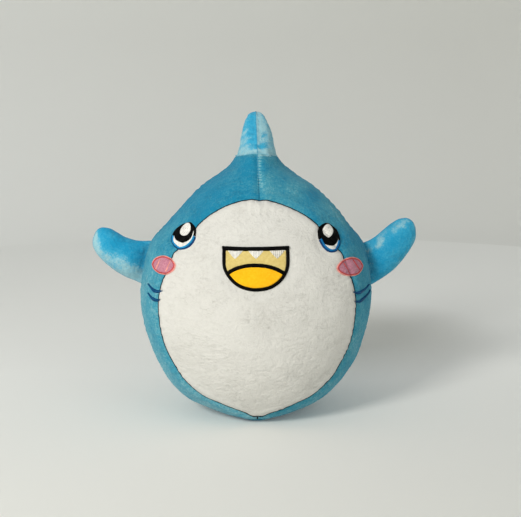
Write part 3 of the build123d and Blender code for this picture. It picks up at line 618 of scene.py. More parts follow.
part = partings(P)
d = 0.75 * pile(P) * (1 - 0.45 * rimw) - 0.3 * part * rimw + 0.16 * noise(P * np.array([0.6, 0.6, 1.2]), 7.5, 126) * rimw
P = P + N * d[:, None]
faces = [tuple(q) for q in grid_faces(NB, NA)]
belly_nap = np.clip(0.66 + 0.16 * noise(P, 34.0, 35) + 0.08 * noise(P, 9.0, 36) - 0.18 * part * rimw, 0, 1)
belly = make("belly_panel_fabric", P, faces, WHITE, {"nap": belly_nap})
finish_piece(belly, "body", ["belly_panel", "body_stuffing"] + ["embroidery_backing_" + k for k in
             ("mouth", "eye_left", "eye_right", "cheek_left", "cheek_right")])

# back panels
for tag, t0, t1 in (("right", 0.0, 90.0), ("left", 90.0, 180.0)):
    T = np.linspace(t0, t1, int(165 / STEP))
    TT, ZZ = np.meshgrid(T, side_z)
    Q, _ = body_points(TT, ZZ)
    Q = Q.reshape(-1, 3)
    ob = make("back_panel_%s_fabric" % tag, Q, grid_faces(len(side_z), len(T)), BLUE, {"nap": blue_nap_and_painted_light(Q)})
    finish_piece(ob, "body", ["back_panel_" + tag])

# base panel: from the base seam down to the flat patch, closed in the middle
NT = 300
T = np.linspace(0, 360, NT, endpoint=False)
rows = []
for z in (BASE_Z, 2.4, 1.7, 1.0, 0.4):
    Q, _ = body_points(T, np.full(NT, z))
    rows.append(Q)
for k in np.linspace(0.94, 0.06, 26):
    q = rows[4] * np.array([k, k, 0]) + np.array([0, 0, 0.12])
    q[:, 2] += 0.25 * np.abs(noise(q, 9.0, 5))
    rows.append(q)
P = np.vstack(rows + [np.array([[0, 0, 0.2]])])
F = [tuple(q[::-1]) for q in grid_faces(len(rows), NT, True)]
F += [((len(rows) - 1) * NT + (j + 1) % NT, (len(rows) - 1) * NT + j, len(rows) * NT) for j in range(NT)]
ob = make("base_panel_fabric", P, F, BLUE, {"nap": np.full(len(P), 0.3)})
finish_piece(ob, "body", ["base_panel"])


# ------------------------------------------------------------------ seams as thread tubes
def tube(name, path, r, mat, body, nodes, is_closed=False, twist=0.9, sides=7, step=0.5):
    path = np.asarray(path, float)
    L = np.sum(np.linalg.norm(np.diff(path, axis=0), axis=1))
    n = max(8, int(L / step))
    if is_closed and np.linalg.norm(path[0] - path[-1]) < 1e-6:
        path = path[:-1]
    p = resample(path, n, is_closed)
    t = (np.roll(p, -1, 0) - np.roll(p, 1, 0)) if is_closed else np.gradient(p, axis=0)
    t /= np.maximum(np.linalg.norm(t, axis=1, keepdims=True), 1e-9)
    ref = np.array([0.31, -0.9, 0.27])
    a = np.cross(t, ref); a /= np.linalg.norm(a, axis=1, keepdims=True)
    b = np.cross(t, a)
    q = np.linspace(0, 2 * np.pi, sides, endpoint=False)
    s = np.arange(n) * step
    rr = r * (1 + 0.16 * np.cos(2 * np.pi * s / twist))[:, None]
    P = p[:, None] + a[:, None] * (rr * np.cos(q))[..., None] + b[:, None] * (rr * np.sin(q))[..., None]
    F = grid_faces(n, sides, True)
    faces = [tuple(x) for x in F]
    if is_closed:
        faces += [((n - 1) * sides + j, (n - 1) * sides + (j + 1) % sides, (j + 1) % sides, j) for j in range(sides)]
    else:
        faces += [tuple(range(sides))[::-1], tuple((n - 1) * sides + j for j in range(sides))]
    th = np.repeat(0.5 + 0.5 * np.cos(2 * np.pi * s / twist), sides)
    ob = make(name, P.reshape(-1, 3), faces, mat, {"thread": th})
    if body:
        finish_piece(ob, body, nodes)
    return ob


def sunk(t, z, lift):
    Q, N = body_points(t, z, fuzz=False)
    return Q + N * lift


bt = np.vstack([belly_t, belly_t[:1]])
# a real thread, coloured near-black so it also paints the shade in the seam groove
tube("belly_seam_thread", sunk(bt[:, 0], bt[:, 1], 0.34), 0.54, SEAM_SHADE_THREAD, "body", ["belly_seam"], True)
low_part = np.linspace(219.5, 238, 40)
tube("front_centre_seam_thread", sunk(np.full(40, 270.0), low_part, 0.15), 0.34, SEAMBLUE, "body", ["front_centre_seam"])
high_part = np.linspace(238.2, NECK_Z, 30)
tube("front_centre_seam_top_thread", sunk(np.full(30, 270.0), high_part, 0.15), 0.36, SEAMPALE, "body", [])
# the low end of the centre seam also takes the near-black thread: painted shade in the groove
tube("front_centre_seam_low_thread", sunk(np.full(12, 270.0), low_z, 0.4), 0.5, SEAM_SHADE_THREAD, "body", [])
tube("back_centre_seam_thread", sunk(np.full(200, 90.0), np.linspace(BASE_Z, NECK_Z, 200), 0.2), 0.45, SEAMBLUE, "body", ["back_centre_seam"])
for tag, t in (("left", 180.0), ("right", 0.0)):
    tube("side_seam_%s_thread" % tag, sunk(np.full(200, t), np.linspace(BASE_Z, NECK_Z, 200), 0.15), 0.42, SEAMBLUE, "body",
         ["side_seam_" + tag])
tl = np.linspace(0, 360, 220)
tube("base_seam_thread", sunk(tl, np.full(220, BASE_Z), 0.1), 0.45, SEAMBLUE, "body", ["base_seam"], True)
tube("neck_seam_thread", sunk(tl, np.full(220, NECK_Z - 0.4), 0.25), 0.45, SEAMLIGHT, "body", [], True)
# a fold of the body fabric turned in at the neck, under the root of the top fin
cq, _ = body_points(tl[:-1], np.full(219, NECK_Z - 0.3), fuzz=False)
mq = cq.mean(0) * np.array([1, 1, 0])
cr_ = [np.stack([mq[0] + (cq[:, 0] - mq[0]) * k, mq[1] + (cq[:, 1] - mq[1]) * k, cq[:, 2] - 0.15], 1) for k in (0.995, 0.93, 0.86, 0.8)]
CP = np.vstack(cr_)
ob = make("neck_fold_fabric", CP, grid_faces(4, 219, True), BLUE, {"nap": np.full(len(CP), 0.3)})
finish_piece(ob, "body", [])
sv, sf, sth = [], [], []
for i in range(9):
    z = 92.0 + 5.0 * i
    m = sunk(np.array([90.0]), np.array([z]), 0.9)[0]
    path = np.array([[m[0] + x, m[1] - 0.9 * (x / 2.6) ** 2, z + 0.5 * x / 2.6] for x in np.linspace(-2.6, 2.6, 14)])
    o = tube("tmp", path, 0.42, SEAMBLUE, None, [], step=0.4)
    base = sum(len(x) for x in sv)
    sv.append(np.array([v.co[:] for v in o.data.vertices]) * 1000)
    sf += [tuple(base + k for k in p.vertices) for p in o.data.polygons]
    bpy.data.objects.remove(o)
st = make("closing_ladder_stitches", np.vstack(sv), sf, SEAMBLUE, {"thread": np.ones(sum(len(x) for x in sv))})
finish_piece(st, "body", ["closing_stitches"])


# ------------------------------------------------------------------ embroidery
def poly_dist(p, poly):
    a = poly; b = np.roll(poly, -1, 0)
    ab = b - a
    out = np.full(len(p), 1e9)
    for c in range(0, len(p), 4000):
        q = p[c:c + 4000]
        ap = q[:, None] - a[None]
        t = np.clip((ap * ab[None]).sum(2) / np.maximum((ab**2).sum(1), 1e-12)[None], 0, 1)
        d = np.linalg.norm(ap - t[..., None] * ab[None], axis=2)
        out[c:c + 4000] = d.min(1)
    return out


def patch(name, outline, h, edge_w, mat, nodes, angle=0.0, pitch=0.85, ridge=0.13, sub=3, floor=-0.5, nv=None,
          jag=0.0, swell=0.0, tatami=0.0):
    """A filled embroidered or applique area. Threads run along the direction angle (degrees from +Z)."""
    o = curve(outline, 200, True) if len(outline) < 60 else np.asarray(outline, float)
    r = math.radians(angle)
    R = np.array([[math.cos(r), -math.sin(r)], [math.sin(r), math.cos(r)]])
    q = o @ R                                    # columns along q[:, 0], threads along q[:, 1]
    lo, hi = q[:, 0].min(), q[:, 0].max()
    nc = max(6, int((hi - lo) / pitch * sub))
    u = lo + (hi - lo) * (np.linspace(0.0015, 0.9985, nc))
    qa, qb = q, np.roll(q, -1, 0)
    zlo, zhi = np.empty(nc), np.empty(nc)
    for k, x in enumerate(u):
        c = (qa[:, 0] - x) * (qb[:, 0] - x) <= 0
        e = np.abs(qb[c, 0] - qa[c, 0]) > 1e-9
        zz_ = qa[c, 1][e] + (x - qa[c, 0][e]) / (qb[c, 0][e] - qa[c, 0][e]) * (qb[c, 1][e] - qa[c, 1][e])
        zlo[k], zhi[k] = zz_.min(), zz_.max()
    if jag:
        j = np.random.default_rng(len(name)).normal(0, jag, (2, nc // sub + 2))
        zlo = zlo + np.repeat(j[0], sub)[:nc]
        zhi = zhi + np.repeat(j[1], sub)[:nc]
    span = (zhi - zlo).max()
    nv = nv or int(np.clip(span / 0.55, 10, 90))
    w = 0.5 - 0.5 * np.cos(np.pi * np.linspace(0, 1, nv))
    w = 0.35 * w + 0.65 * np.linspace(0, 1, nv)
    V = zlo[None] + (zhi - zlo)[None] * w[:, None]
    U = np.broadcast_to(u[None], V.shape)
    xz = np.stack([U, V], -1).reshape(-1, 2) @ R.T
    d = np.maximum(poly_dist(xz, o), 0)
    d[np.concatenate([np.arange(nc), np.arange((nv - 1) * nc, nv * nc), np.arange(0, nv * nc, nc), np.arange(nc - 1, nv * nc, nc)])] = 0
    e = np.clip(d / edge_w, 0, 1)
    prof = np.sqrt(np.maximum(1 - (1 - e) ** 2, 0))
    ph = 0.5 + 0.5 * np.cos(2 * np.pi * np.tile(np.arange(nc), nv) / sub)
    if tatami:                                   # short stitches laid like bricks: a dip where one ends, which the thread attribute also darkens as painted shade
        col = np.tile(np.arange(nc) // sub, nv)
        k = np.mod(np.repeat(np.arange(nv), nc) * (span / nv) / tatami + 0.37 * col, 1.0)
        ph = ph * np.where(k < 0.26, 0.15, 1.0)
    mid = smooth(d / max(1e-6, d.max()))
    H = floor + (h - floor) * prof + swell * mid + ridge * (ph - 0.5) * prof
    P = on_face(xz, H)
    return finish_piece(make(name, P, grid_faces(nv, nc), mat, {"thread": ph}), "body", nodes)


def band(name, path, w, h, mat, nodes, is_closed=False, pitch=0.85, ridge=0.14, taper=False, sub=3, nw=9, jag=0.05, slant=0.0):
    """A satin-stitch line: threads run across the path."""
    p = np.asarray(path, float)
    L = np.sum(np.linalg.norm(np.diff(np.vstack([p, p[:1]]) if is_closed else p, axis=0), axis=1))
    n = max(8, int(L / pitch) * sub)
    p = resample(p, n, is_closed)
    t = (np.roll(p, -1, 0) - np.roll(p, 1, 0)) if is_closed else np.gradient(p, axis=0)
    t /= np.maximum(np.linalg.norm(t, axis=1, keepdims=True), 1e-9)
    m = np.stack([-t[:, 1], t[:, 0]], 1)
    j = np.repeat(np.random.default_rng(len(name) + 5).normal(0, jag, n // sub + 2), sub)[:n]
    half = np.full(n, w / 2) if np.isscalar(w) else resample(np.asarray(w, float)[:, None], n)[:, 0] / 2
    half = half + j
    if taper:
        s = np.linspace(0, 1, n)
        half = half * np.clip(np.minimum(s, 1 - s) / 0.22, 0.12, 1) ** 0.6
    c = np.cos(np.linspace(np.pi, 0, nw))
    prof = np.sqrt(np.maximum(1 - c**2, 0))
    ph = 0.5 + 0.5 * np.cos(2 * np.pi * np.arange(n) / sub)
    XZ = p[:, None] + m[:, None] * (half[:, None] * c[None])[..., None] + t[:, None] * (slant * c[None, :, None])
    H = -0.6 + (h + 0.6) * prof[None] + ridge * (ph[:, None] - 0.5) * prof[None]
    if taper:
        s = np.linspace(0, 1, n)
        H = H - 0.5 * (1 - np.clip(np.minimum(s, 1 - s) / 0.1, 0, 1))[:, None]
    P = on_face(XZ.reshape(-1, 2), H.reshape(-1))
    F = grid_faces(n, nw)
    faces = [tuple(q[::-1]) for q in F]
    if is_closed:
        faces += [(j2, j2 + 1, (n - 1) * nw + j2 + 1, (n - 1) * nw + j2)[::1] for j2 in range(nw - 1)]
    ob = make(name, P, faces, mat, {"thread": np.repeat(ph, nw)})
    return finish_piece(ob, "body", nodes)


def inset(points, d, is_closed=True):
    p = np.asarray(points, float)
    t = (np.roll(p, -1, 0) - np.roll(p, 1, 0)) if is_closed else np.gradient(p, axis=0)
    t /= np.linalg.norm(t, axis=1, keepdims=True)
    return p + d * np.stack([-t[:, 1], t[:, 0]], 1)


def shrink(points, d):
    p = np.asarray(points, float)
    area = 0.5 * np.sum(p[:, 0] * np.roll(p[:, 1], -1) - np.roll(p[:, 0], -1) * p[:, 1])
    return inset(p, d if area > 0 else -d)


# mouth
cup = curve(MOUTH, 260)
line = inset(cup, 1.35, False)                   # centre line of the black border
line[0], line[-1] = (line[0][0], 176.3), (line[-1][0], 176.3)
inner_cup = inset(cup, 2.6, False)
top_z0 = 175.2
inner_cup[:, 1] = np.minimum(inner_cup[:, 1], top_z0)
lining = np.vstack([inner_cup, np.stack([np.linspace(inner_cup[-1, 0], inner_cup[0, 0], 60)[1:-1], np.full(58, top_z0)], 1)])
patch("mouth_lining_felt", resample(lining, 260, True), 0.55, 1.2, BEIGE, ["mouth_lining"], pitch=2.4, ridge=0.0)
arc = curve(TONGUE_ARC, 120)
low = [q for q in inner_cup if q[1] < np.interp(q[0], arc[:, 0], arc[:, 1])]
low = np.array(low)
tongue = np.vstack([low, arc[::-1][(arc[::-1][:, 0] < low[-1, 0]) & (arc[::-1][:, 0] > low[0, 0])]])
patch("tongue_felt", resample(tongue, 220, True), 0.95, 1.6, YELLOW, ["tongue"], pitch=2.4, ridge=0.0, swell=0.5)
band("tongue_outline_stitch", arc, 4.2, 2.1, BLACK, ["tongue_outline"])
teeth = []
for k, (a, t, b) in enumerate(((-28.6, -21.3, -13.4), (-9.4, -1.7, 5.9), (10.4, 18.2, 26.0))):
    o = curve([(a, 175.3), ((a + t) / 2 - 0.9, 171.7), (t - 0.7, 167.9), (t + 0.7, 167.9), ((b + t) / 2 + 0.9, 171.7), (b, 175.3)], 80)
    o = np.vstack([o, np.stack([np.linspace(b, a, 24)[1:-1], np.full(22, 175.3)], 1)])
    # the right-hand tooth takes the darker copy of the tooth thread: painted shade
    ob = patch("tooth_%d_stitch" % (k + 1), o, 1.05, 0.8, TOOTH_SHADED if k == 2 else TOOTHWHITE, ["teeth"] if k == 0 else [],
               pitch=(1.3, 1.5, 1.75)[k], jag=0.15, ridge=0.34, sub=5)
corner = [(line[0][0] - 1.5, 176.75), (line[-1][0] + 1.2, 176.75)]
band("mouth_outline_stitch", line, 3.35, 1.7, BLACK, ["mouth_outline"])
band("mouth_top_bar_stitch", resample([corner[0], corner[1]], 60), 3.9, 2.2, BLACK, [])


def oval(cx, cz, a, b, deg, n=60):
    r = math.radians(deg)
    q = np.linspace(0, 2 * np.pi, n, endpoint=False)
    u, v = a * np.cos(q), b * np.sin(q)
    return np.stack([cx + u * math.cos(r) - v * math.sin(r), cz + u * math.sin(r) + v * math.cos(r)], 1)


for tag in ("left", "right"):
    loop = curve(EYE[tag], 240, True)
    centre = shrink(loop, 1.1)
    inner = shrink(loop, 1.7)
    patch("eye_%s_white_stitch" % tag, resample(inner, 160, True), 0.85, 1.0, SATWHITE, ["eye_%s_white" % tag], angle=0, pitch=1.2, sub=4)
    pl = curve(PUPIL[tag], 90)
    e0, e1 = pl[0], pl[-1]
    up = [q for q in inner if (e1[0] - e0[0]) * (q[1] - e0[1]) - (e1[1] - e0[1]) * (q[0] - e0[0]) > 0.4]
    up = np.array(up)
    mid = np.vstack([pl, up]).mean(0)
    allp = np.vstack([pl, up])
    aa = np.arctan2(allp[:, 1] - mid[1], allp[:, 0] - mid[0])
    allp = allp[np.argsort(aa)]
    patch("eye_%s_pupil_stitch" % tag, resample(shrink(resample(allp, 120, True), -0.4), 160, True), 1.3, 0.5, BLACK, ["eye_%s_pupil" % tag], angle=0)
    s0, s1 = np.array(SPLIT[tag][0]), np.array(SPLIT[tag][1])
    side = (s1[0] - s0[0]) * (centre[:, 1] - s0[1]) - (s1[1] - s0[1]) * (centre[:, 0] - s0[0]) > 0
    def runs(flag):
        n = len(flag)
        start = [i for i in range(n) if flag[i] and not flag[i - 1]][0]
        out = []
        i = start
        while flag[i % n] and len(out) < n:
            out.append(i % n)
            i += 1
        return out
    band("eye_%s_lower_edge_stitch" % tag, shrink(loop, 0.35)[runs(~side)], 1.7, 1.15, NAVY, [])
    # the right eye's lower outline takes the darker copy of the blue thread: painted shade
    band("eye_%s_lower_outline_stitch" % tag, shrink(loop, 1.5)[runs(~side)], 2.1, 1.5, SATBLUE if tag == "left" else SATBLUE_SHADED, ["eye_%s_lower_outline" % tag])
    band("eye_%s_upper_outline_stitch" % tag, centre[runs(side)], 2.5, 1.6, BLACK, ["eye_%s_upper_outline" % tag])
    patch("eye_%s_glint_stitch" % tag, oval(*GLINT[tag]), 1.75, 0.5, SATWHITE, ["eye_%s_glint" % tag],
          angle=(-40.0 if tag == "left" else 90.0), pitch=1.15, sub=4, ridge=0.2, tatami=2.3)
    ck = curve(CHEEK[tag], 200, True)
    patch("cheek_%s_patch_felt" % tag, resample(shrink(ck, 0.8), 160, True), 0.8, 1.0, PINK, ["cheek_patch_" + tag], pitch=1.6, ridge=0.0, sub=3)
    # a pale pink band round the outside of the salmon border paints its highlight
    band("cheek_%s_edge_stitch" % tag, shrink(ck, 0.25), 1.3, 1.0, SALMON_HIGHLIGHT, [], True, pitch=1.1)
    band("cheek_%s_border_stitch" % tag, shrink(ck, 1.1), 1.5, 1.4, SALMON, ["cheek_border_" + tag], True)
    for k, (p, q) in enumerate(CHEEK_LINES[tag]):
        # the left cheek's lines take the pale highlight thread and the right's the salmon: painted light on the left
        band("cheek_%s_line_%d_stitch" % (tag, k + 1), resample([p, q], 30), 1.35, 1.5, SALMON_HIGHLIGHT if tag == "left" else SALMON, [], pitch=1.1)
    for k, g in enumerate(GILLS[tag]):
        band("gill_%s_%d_stitch" % (tag, k + 1), curve(g, 50), [0.7, 1.9, 3.0, 3.8, 3.8, 2.8, 0.8], 1.45, GILL,
             ["gill_stitches_" + tag] if k == 0 else [])


# ------------------------------------------------------------------ side fins
def fin_frame(sgn):
    lo = np.array([sgn * 115.0, 0, 128.0]); hi = np.array([sgn * 104.4, 0, 173.0])
    v = (hi - lo) / np.linalg.norm(hi - lo)
    u = np.array([sgn * v[2], 0, -sgn * v[0]])
    return lo, u, v


for tag, sgn in (("left", -1), ("right", 1)):
    o, uu, vv = fin_frame(sgn)
    nu, nv = 92, 86
    us = -4.0 + 61.4 * (1 - (1 - np.linspace(0, 1, nu)) ** 1.25)
    w = np.sin(np.linspace(-np.pi / 2, np.pi / 2, nv))
    w = 0.5 * w + 0.5 * np.linspace(-1, 1, nv)
    lo, hi = pchip(FIN_U, FIN_LO[tag], us), pchip(FIN_U, FIN_HI[tag], us)
    H = pchip(FIN_U, FIN_H, us)
    mid, half = (lo + hi) / 2, (hi - lo) / 2
    U = np.repeat(us[:, None], nv, 1)
    V = mid[:, None] + half[:, None] * w[None]
    body_nodes = ["pectoral_fin_%s_%s" % (tag, k) for k in ("front_panel", "back_panel", "seam", "stuffing")]
    edge_path = None
    for face, sy in (("front", -1), ("back", 1)):
        prof = np.maximum(1 - np.abs(w) ** 2.2, 0) ** 0.62
        Y = H[:, None] * prof[None]
        P = o[None, None] + U[..., None] * uu + V[..., None] * vv
        P[..., 1] = SIDE_Y + sy * Y
        flat = P.reshape(-1, 3).copy()
        # distance from the sewn edge, in the plane of the fin
        de = (1 - np.abs(w))[None] * half[:, None]
        tip = (57.4 - U)
        de = np.minimum(de, tip).reshape(-1)
        s_al = (np.where(w[None] > 0, U, -U) * 1.0 + V * 0.35).reshape(-1)
        sp = np.stack([s_al, np.full_like(s_al, 3.0 * sy), np.zeros_like(s_al)], 1)
        pk = 0.45 * np.sin(2 * np.pi * (s_al / 6.5 + 0.5 * noise(sp, 9.0, 70))) * np.exp(-de / 5.0) * (0.5 + 0.5 * noise(sp, 14.0, 71))
        gather = 0.9 * np.sin(2 * np.pi * (V.reshape(-1) / 8.5 + 0.4 * noise(sp, 12.0, 72))) * np.exp(-np.maximum(U.reshape(-1), 0) / 6.5)
        lump = 0.8 * noise(flat, 19.0, 73) + 0.35 * noise(flat, 9.0, 74)
        fade = np.clip(de / 3.0, 0, 1)
        d = (lump + pk + gather) * fade + pile(flat, 0.34, 3 + sy) * np.clip(de / 1.2, 0.25, 1)
        N = np.cross(np.gradient(P, axis=0).reshape(-1, 3), np.gradient(P, axis=1).reshape(-1, 3))
        N /= np.maximum(np.linalg.norm(N, axis=1, keepdims=True), 1e-9)
        flip = np.where((N[:, 1] * sy) < 0, -1.0, 1.0)
        N = N * flip[:, None]
        N[np.isnan(N).any(1)] = 0
        Q = flat + N * d[:, None]
        on_edge = np.zeros((nu, nv), bool); on_edge[:, 0] = on_edge[:, -1] = on_edge[-1] = True
        e = on_edge.reshape(-1)
        Q[e] = flat[e]
        Q[e, 1] = SIDE_Y
        Un, Vn = U.reshape(-1), V.reshape(-1)
        grain = 0.5 + 0.5 * noise(flat, 7.0, 77)
        if tag == "left":
            edge_v = pchip([-4, 5, 12, 20, 30, 41, 51, 58], [10.0, 12.5, 16.5, 21.5, 25.0, 26.0, 32.0, 44.0], Un)
            # painted light: the last term makes the pile paler near the root, offsetting the shade the body casts there
            nap = 0.14 + 0.84 * smooth((edge_v - Vn + 12.0 + 3.0 * noise(flat, 11.0, 78)) / 17.0) + 0.3 * smooth((Un - 47) / 9.0) + 0.2 * smooth((13.0 - Un) / 12.0)
        else:
            hi_v = np.repeat(hi, nv)
            lo_v = np.repeat(lo, nv)
            nap = 0.14 + 0.95 * grain**1.3 * np.exp(-((hi_v - Vn - 5.5) / 5.5) ** 2) * smooth((Un + 1) / 8.0)
            # painted light: the last term makes the pile paler near the root, offsetting the shade the body casts there
            nap += 0.42 * smooth((lo_v + 9.0 - Vn) / 8.0) * smooth((Un - 8) / 12.0) + 0.4 * smooth((15.0 - Un) / 14.0)
        nap = np.clip(nap + 0.13 * noise(flat, 12.0, 75) + 0.08 * noise(flat, 4.0, 76), 0, 1)
        F = grid_faces(nu, nv)
        if (sgn * sy) > 0:
            F = F[:, ::-1]
        ob = make("pectoral_%s_%s_fabric" % (tag, face), Q, F, FINB, {"nap": nap})
        a0 = o + uu * 1.5 + vv * 23
        b0 = o + uu * 17.0 + vv * 23
        a0[1] = b0[1] = SIDE_Y
        nn = [body_nodes[0], body_nodes[3]] if face == "front" else [body_nodes[1]]
        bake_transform(ob)
        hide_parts(*nn)
        if face == "front":
            lowe = Q.reshape(nu, nv, 3)[:, 0]; highe = Q.reshape(nu, nv, 3)[:, -1]
            edge_path = np.vstack([lowe, Q.reshape(nu, nv, 3)[-1, 1:-1], highe[::-1]])
    th = tube("pectoral_%s_seam_thread" % tag, edge_path, 0.3, SEAMPALE, None, [])
    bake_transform(th)
    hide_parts(body_nodes[2])

# ------------------------------------------------------------------ top fin
nz, ny = 60, 90
q = 0.5 * np.sin(np.linspace(-np.pi / 2, np.pi / 2, ny)) + 0.5 * np.linspace(-1, 1, ny)
root_z = (NECK_Z - 2.4 + neck_lift(q))[None, :]
zs = root_z + (299.8 - root_z) * (1 - (1 - np.linspace(0, 1, nz)) ** 1.3)[:, None]
zt = np.maximum(zs, 255.6)
W, Ff, Bb = pchip(TOP_Z, TOP_W, zt), pchip(TOP_Z, TOP_F, zt), pchip(TOP_Z, TOP_B, zt)
x0 = 1.2 - 0.9 * smooth((zs - 262) / 38.0)
for tag, sx in (("left", -1), ("right", 1)):
    rnd = smooth((zs - 256) / 16.0)
    prof = np.maximum(1 - np.abs(q)[None] ** (2.0 + 0.1 * rnd), 0) ** (0.5 + 0.12 * rnd)
    P = np.stack([x0 + sx * W * prof, (Ff + Bb) / 2 + (Bb - Ff) / 2 * q[None], zs], -1)
    flat = P.reshape(-1, 3).copy()
    N = np.cross(np.gradient(P, axis=0).reshape(-1, 3), np.gradient(P, axis=1).reshape(-1, 3))
    N /= np.maximum(np.linalg.norm(N, axis=1, keepdims=True), 1e-9)
    N *= np.where(N[:, 0] * sx < 0, -1, 1)[:, None]
    de = ((1 - np.abs(q))[None] * (Bb - Ff) / 2).reshape(-1)
    zf = flat[:, 2]
    sp = np.stack([zf, np.full_like(zf, 5.0 * sx), np.zeros_like(zf)], 1)
    seam = -1.0 * np.exp(-(de / 1.8) ** 1.2) + 0.4 * np.exp(-((de - 5) / 3.0) ** 2)
    pk = 0.45 * np.sin(2 * np.pi * (zf / 6.0 + 0.5 * noise(sp, 8.0, 80))) * np.exp(-de / 5.0)
    dn = np.maximum(zf - 1.8 - np.tile(root_z.ravel(), nz), 0)
    neck = -0.6 * np.exp(-(dn / 2.1) ** 1.25) + 0.3 * np.exp(-((dn - 6) / 3.5) ** 2)
    ang_ = np.arctan2(flat[:, 1] - 15, flat[:, 0])
    neckp = 0.5 * np.sin(ang_ * 11 + 2 * noise(flat, 14.0, 81)) * np.exp(-dn / 6.0)
    d = (seam + pk) * np.clip(de / 0.5, 0, 1) + neck + neckp + 0.6 * noise(flat, 17.0, 82) * np.clip(de / 4, 0, 1) + pile(flat, 0.34, 7) * np.clip(de / 1.2, 0.2, 1)
    Q = flat + N * d[:, None]
    Q = Q.reshape(nz, ny, 3)
    Q[:, 0] = P[:, 0] + np.array([0, 0.5, 0]); Q[:, -1] = P[:, -1] - np.array([0, 0.5, 0])
    Q[-1, :, 0] = x0[-1, 0]; Q[-1, :, 2] = 300.0
    Q[-1, :, 1] = np.linspace(P[-1, 0, 1], P[-1, -1, 1], ny)
    Q = Q.reshape(-1, 3)
    xf = flat[:, 0] - 1.0
    wob = 1.6 * noise(flat, 9.0, 83)
    streak = sum(k * np.exp(-((zf - m * xf + wob - c) / w_) ** 2) for c, m, w_, k in
                 ((289.5, 0.85, 2.6, 0.42), (281.0, 0.75, 2.6, 0.5), (271.5, 0.5, 2.7, 0.55)))
    basal = 0.75 * np.exp(-((dn - 2.5) / 2.6) ** 2) * np.where(flat[:, 1] < 20, 1.0, 0.6)
    if sx < 0:
        nap = 0.34 + 0.8 * streak * smooth((de - 0.5) / 5.0) + 0.16 * smooth((-xf - 4.0) / 10.0) + 0.9 * basal
    else:
        blot = np.exp(-((zf - 266.5) / 3.4) ** 2) * np.exp(-((xf - 4.5) / 5.0) ** 2) + 0.6 * np.exp(-((zf - 277.5) / 2.8) ** 2) * np.exp(-((xf - 6) / 2.6) ** 2)
        nap = 0.84 + 0.16 * noise(flat, 10.0, 84) + 0.3 * np.exp(-(de / 3.0) ** 2) + 0.6 * basal - 0.7 * blot
    nap = np.clip(nap + 0.1 * noise(flat, 5.0, 85), 0, 1)
    F = grid_faces(nz, ny)
    if sx < 0:
        F = F[:, ::-1]
    ob = make("dorsal_%s_fabric" % tag, Q, F, FINB, {"nap": nap})
    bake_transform(ob)
    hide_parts(*(["dorsal_fin_left_panel", "dorsal_fin_stuffing"] if sx < 0 else ["dorsal_fin_right_panel"]))
    if sx < 0:
        g = Q.reshape(nz, ny, 3)
        dpath = np.vstack([g[:, 0], g[-1, 1:-1], g[::-1, -1]])
th = tube("dorsal_seam_thread", dpath, 0.3, SEAMPALE, None, [])
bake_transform(th)
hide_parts("dorsal_fin_seam")


# ------------------------------------------------------------------ tail fin: outline in the plane x = 0, puffed to a lens
def lobe_edges(rows, n):
    p = np.array([(r[0], r[1]) for r in rows], float); hv = np.array([r[2] for r in rows], float)
    s = np.concatenate([[0], np.cumsum(np.linalg.norm(np.diff(p, axis=0), axis=1))])
    qs = np.linspace(0, s[-1], n)
    c = np.stack([pchip(s, p[:, 0], qs), pchip(s, p[:, 1], qs)], 1)
    h = pchip(s, hv, qs)
    t = np.gradient(c, axis=0); t /= np.linalg.norm(t, axis=1, keepdims=True)
    m = np.stack([-t[:, 1], t[:, 0]], 1)
    return c + m * h[:, None], c - m * h[:, None], c


upA, upB, _ = lobe_edges(TAIL_UP, 80)
dnA, dnB, _ = lobe_edges(TAIL_DN, 80)
# crossing of the two inner edges: the notch
best = np.unravel_index(np.argmin(np.linalg.norm(upB[20:, None] - dnA[None, 20:], axis=2)), (60, 60))
ku, kd = best[0] + 20, best[1] + 20
notch = (upB[ku] + dnA[kd]) / 2
upI = resample(np.vstack([notch, upB[ku + 1:]]), 60)
dnI = resample(np.vstack([notch, dnA[kd + 1:]]), 60)
outline = np.vstack([dnB, dnI[::-1][:-1], upI, upA[::-1]])
far = np.vstack([[[60.0, dnB[0, 1]]], outline, [[60.0, upA[0, 1]]]])
nO = len(outline)
NS_, NM, NW = 84, 44, 26
mid_line = np.stack([np.linspace(92.0, notch[0], NM), np.linspace(62.0, notch[1], NM)], 1)
halves = []
for outer, inner_ in ((upA, upI), (dnB, dnI)):
    A = resample(outer, NS_)
    B = np.vstack([mid_line, resample(inner_, NS_ - NM + 1)[1:]])
    w = 0.5 - 0.5 * np.cos(np.pi * np.linspace(0, 1, NW))
    w = 0.5 * w + 0.5 * np.linspace(0, 1, NW)
    halves.append(A[:, None] * (1 - w)[None, :, None] + B[:, None] * w[None, :, None])
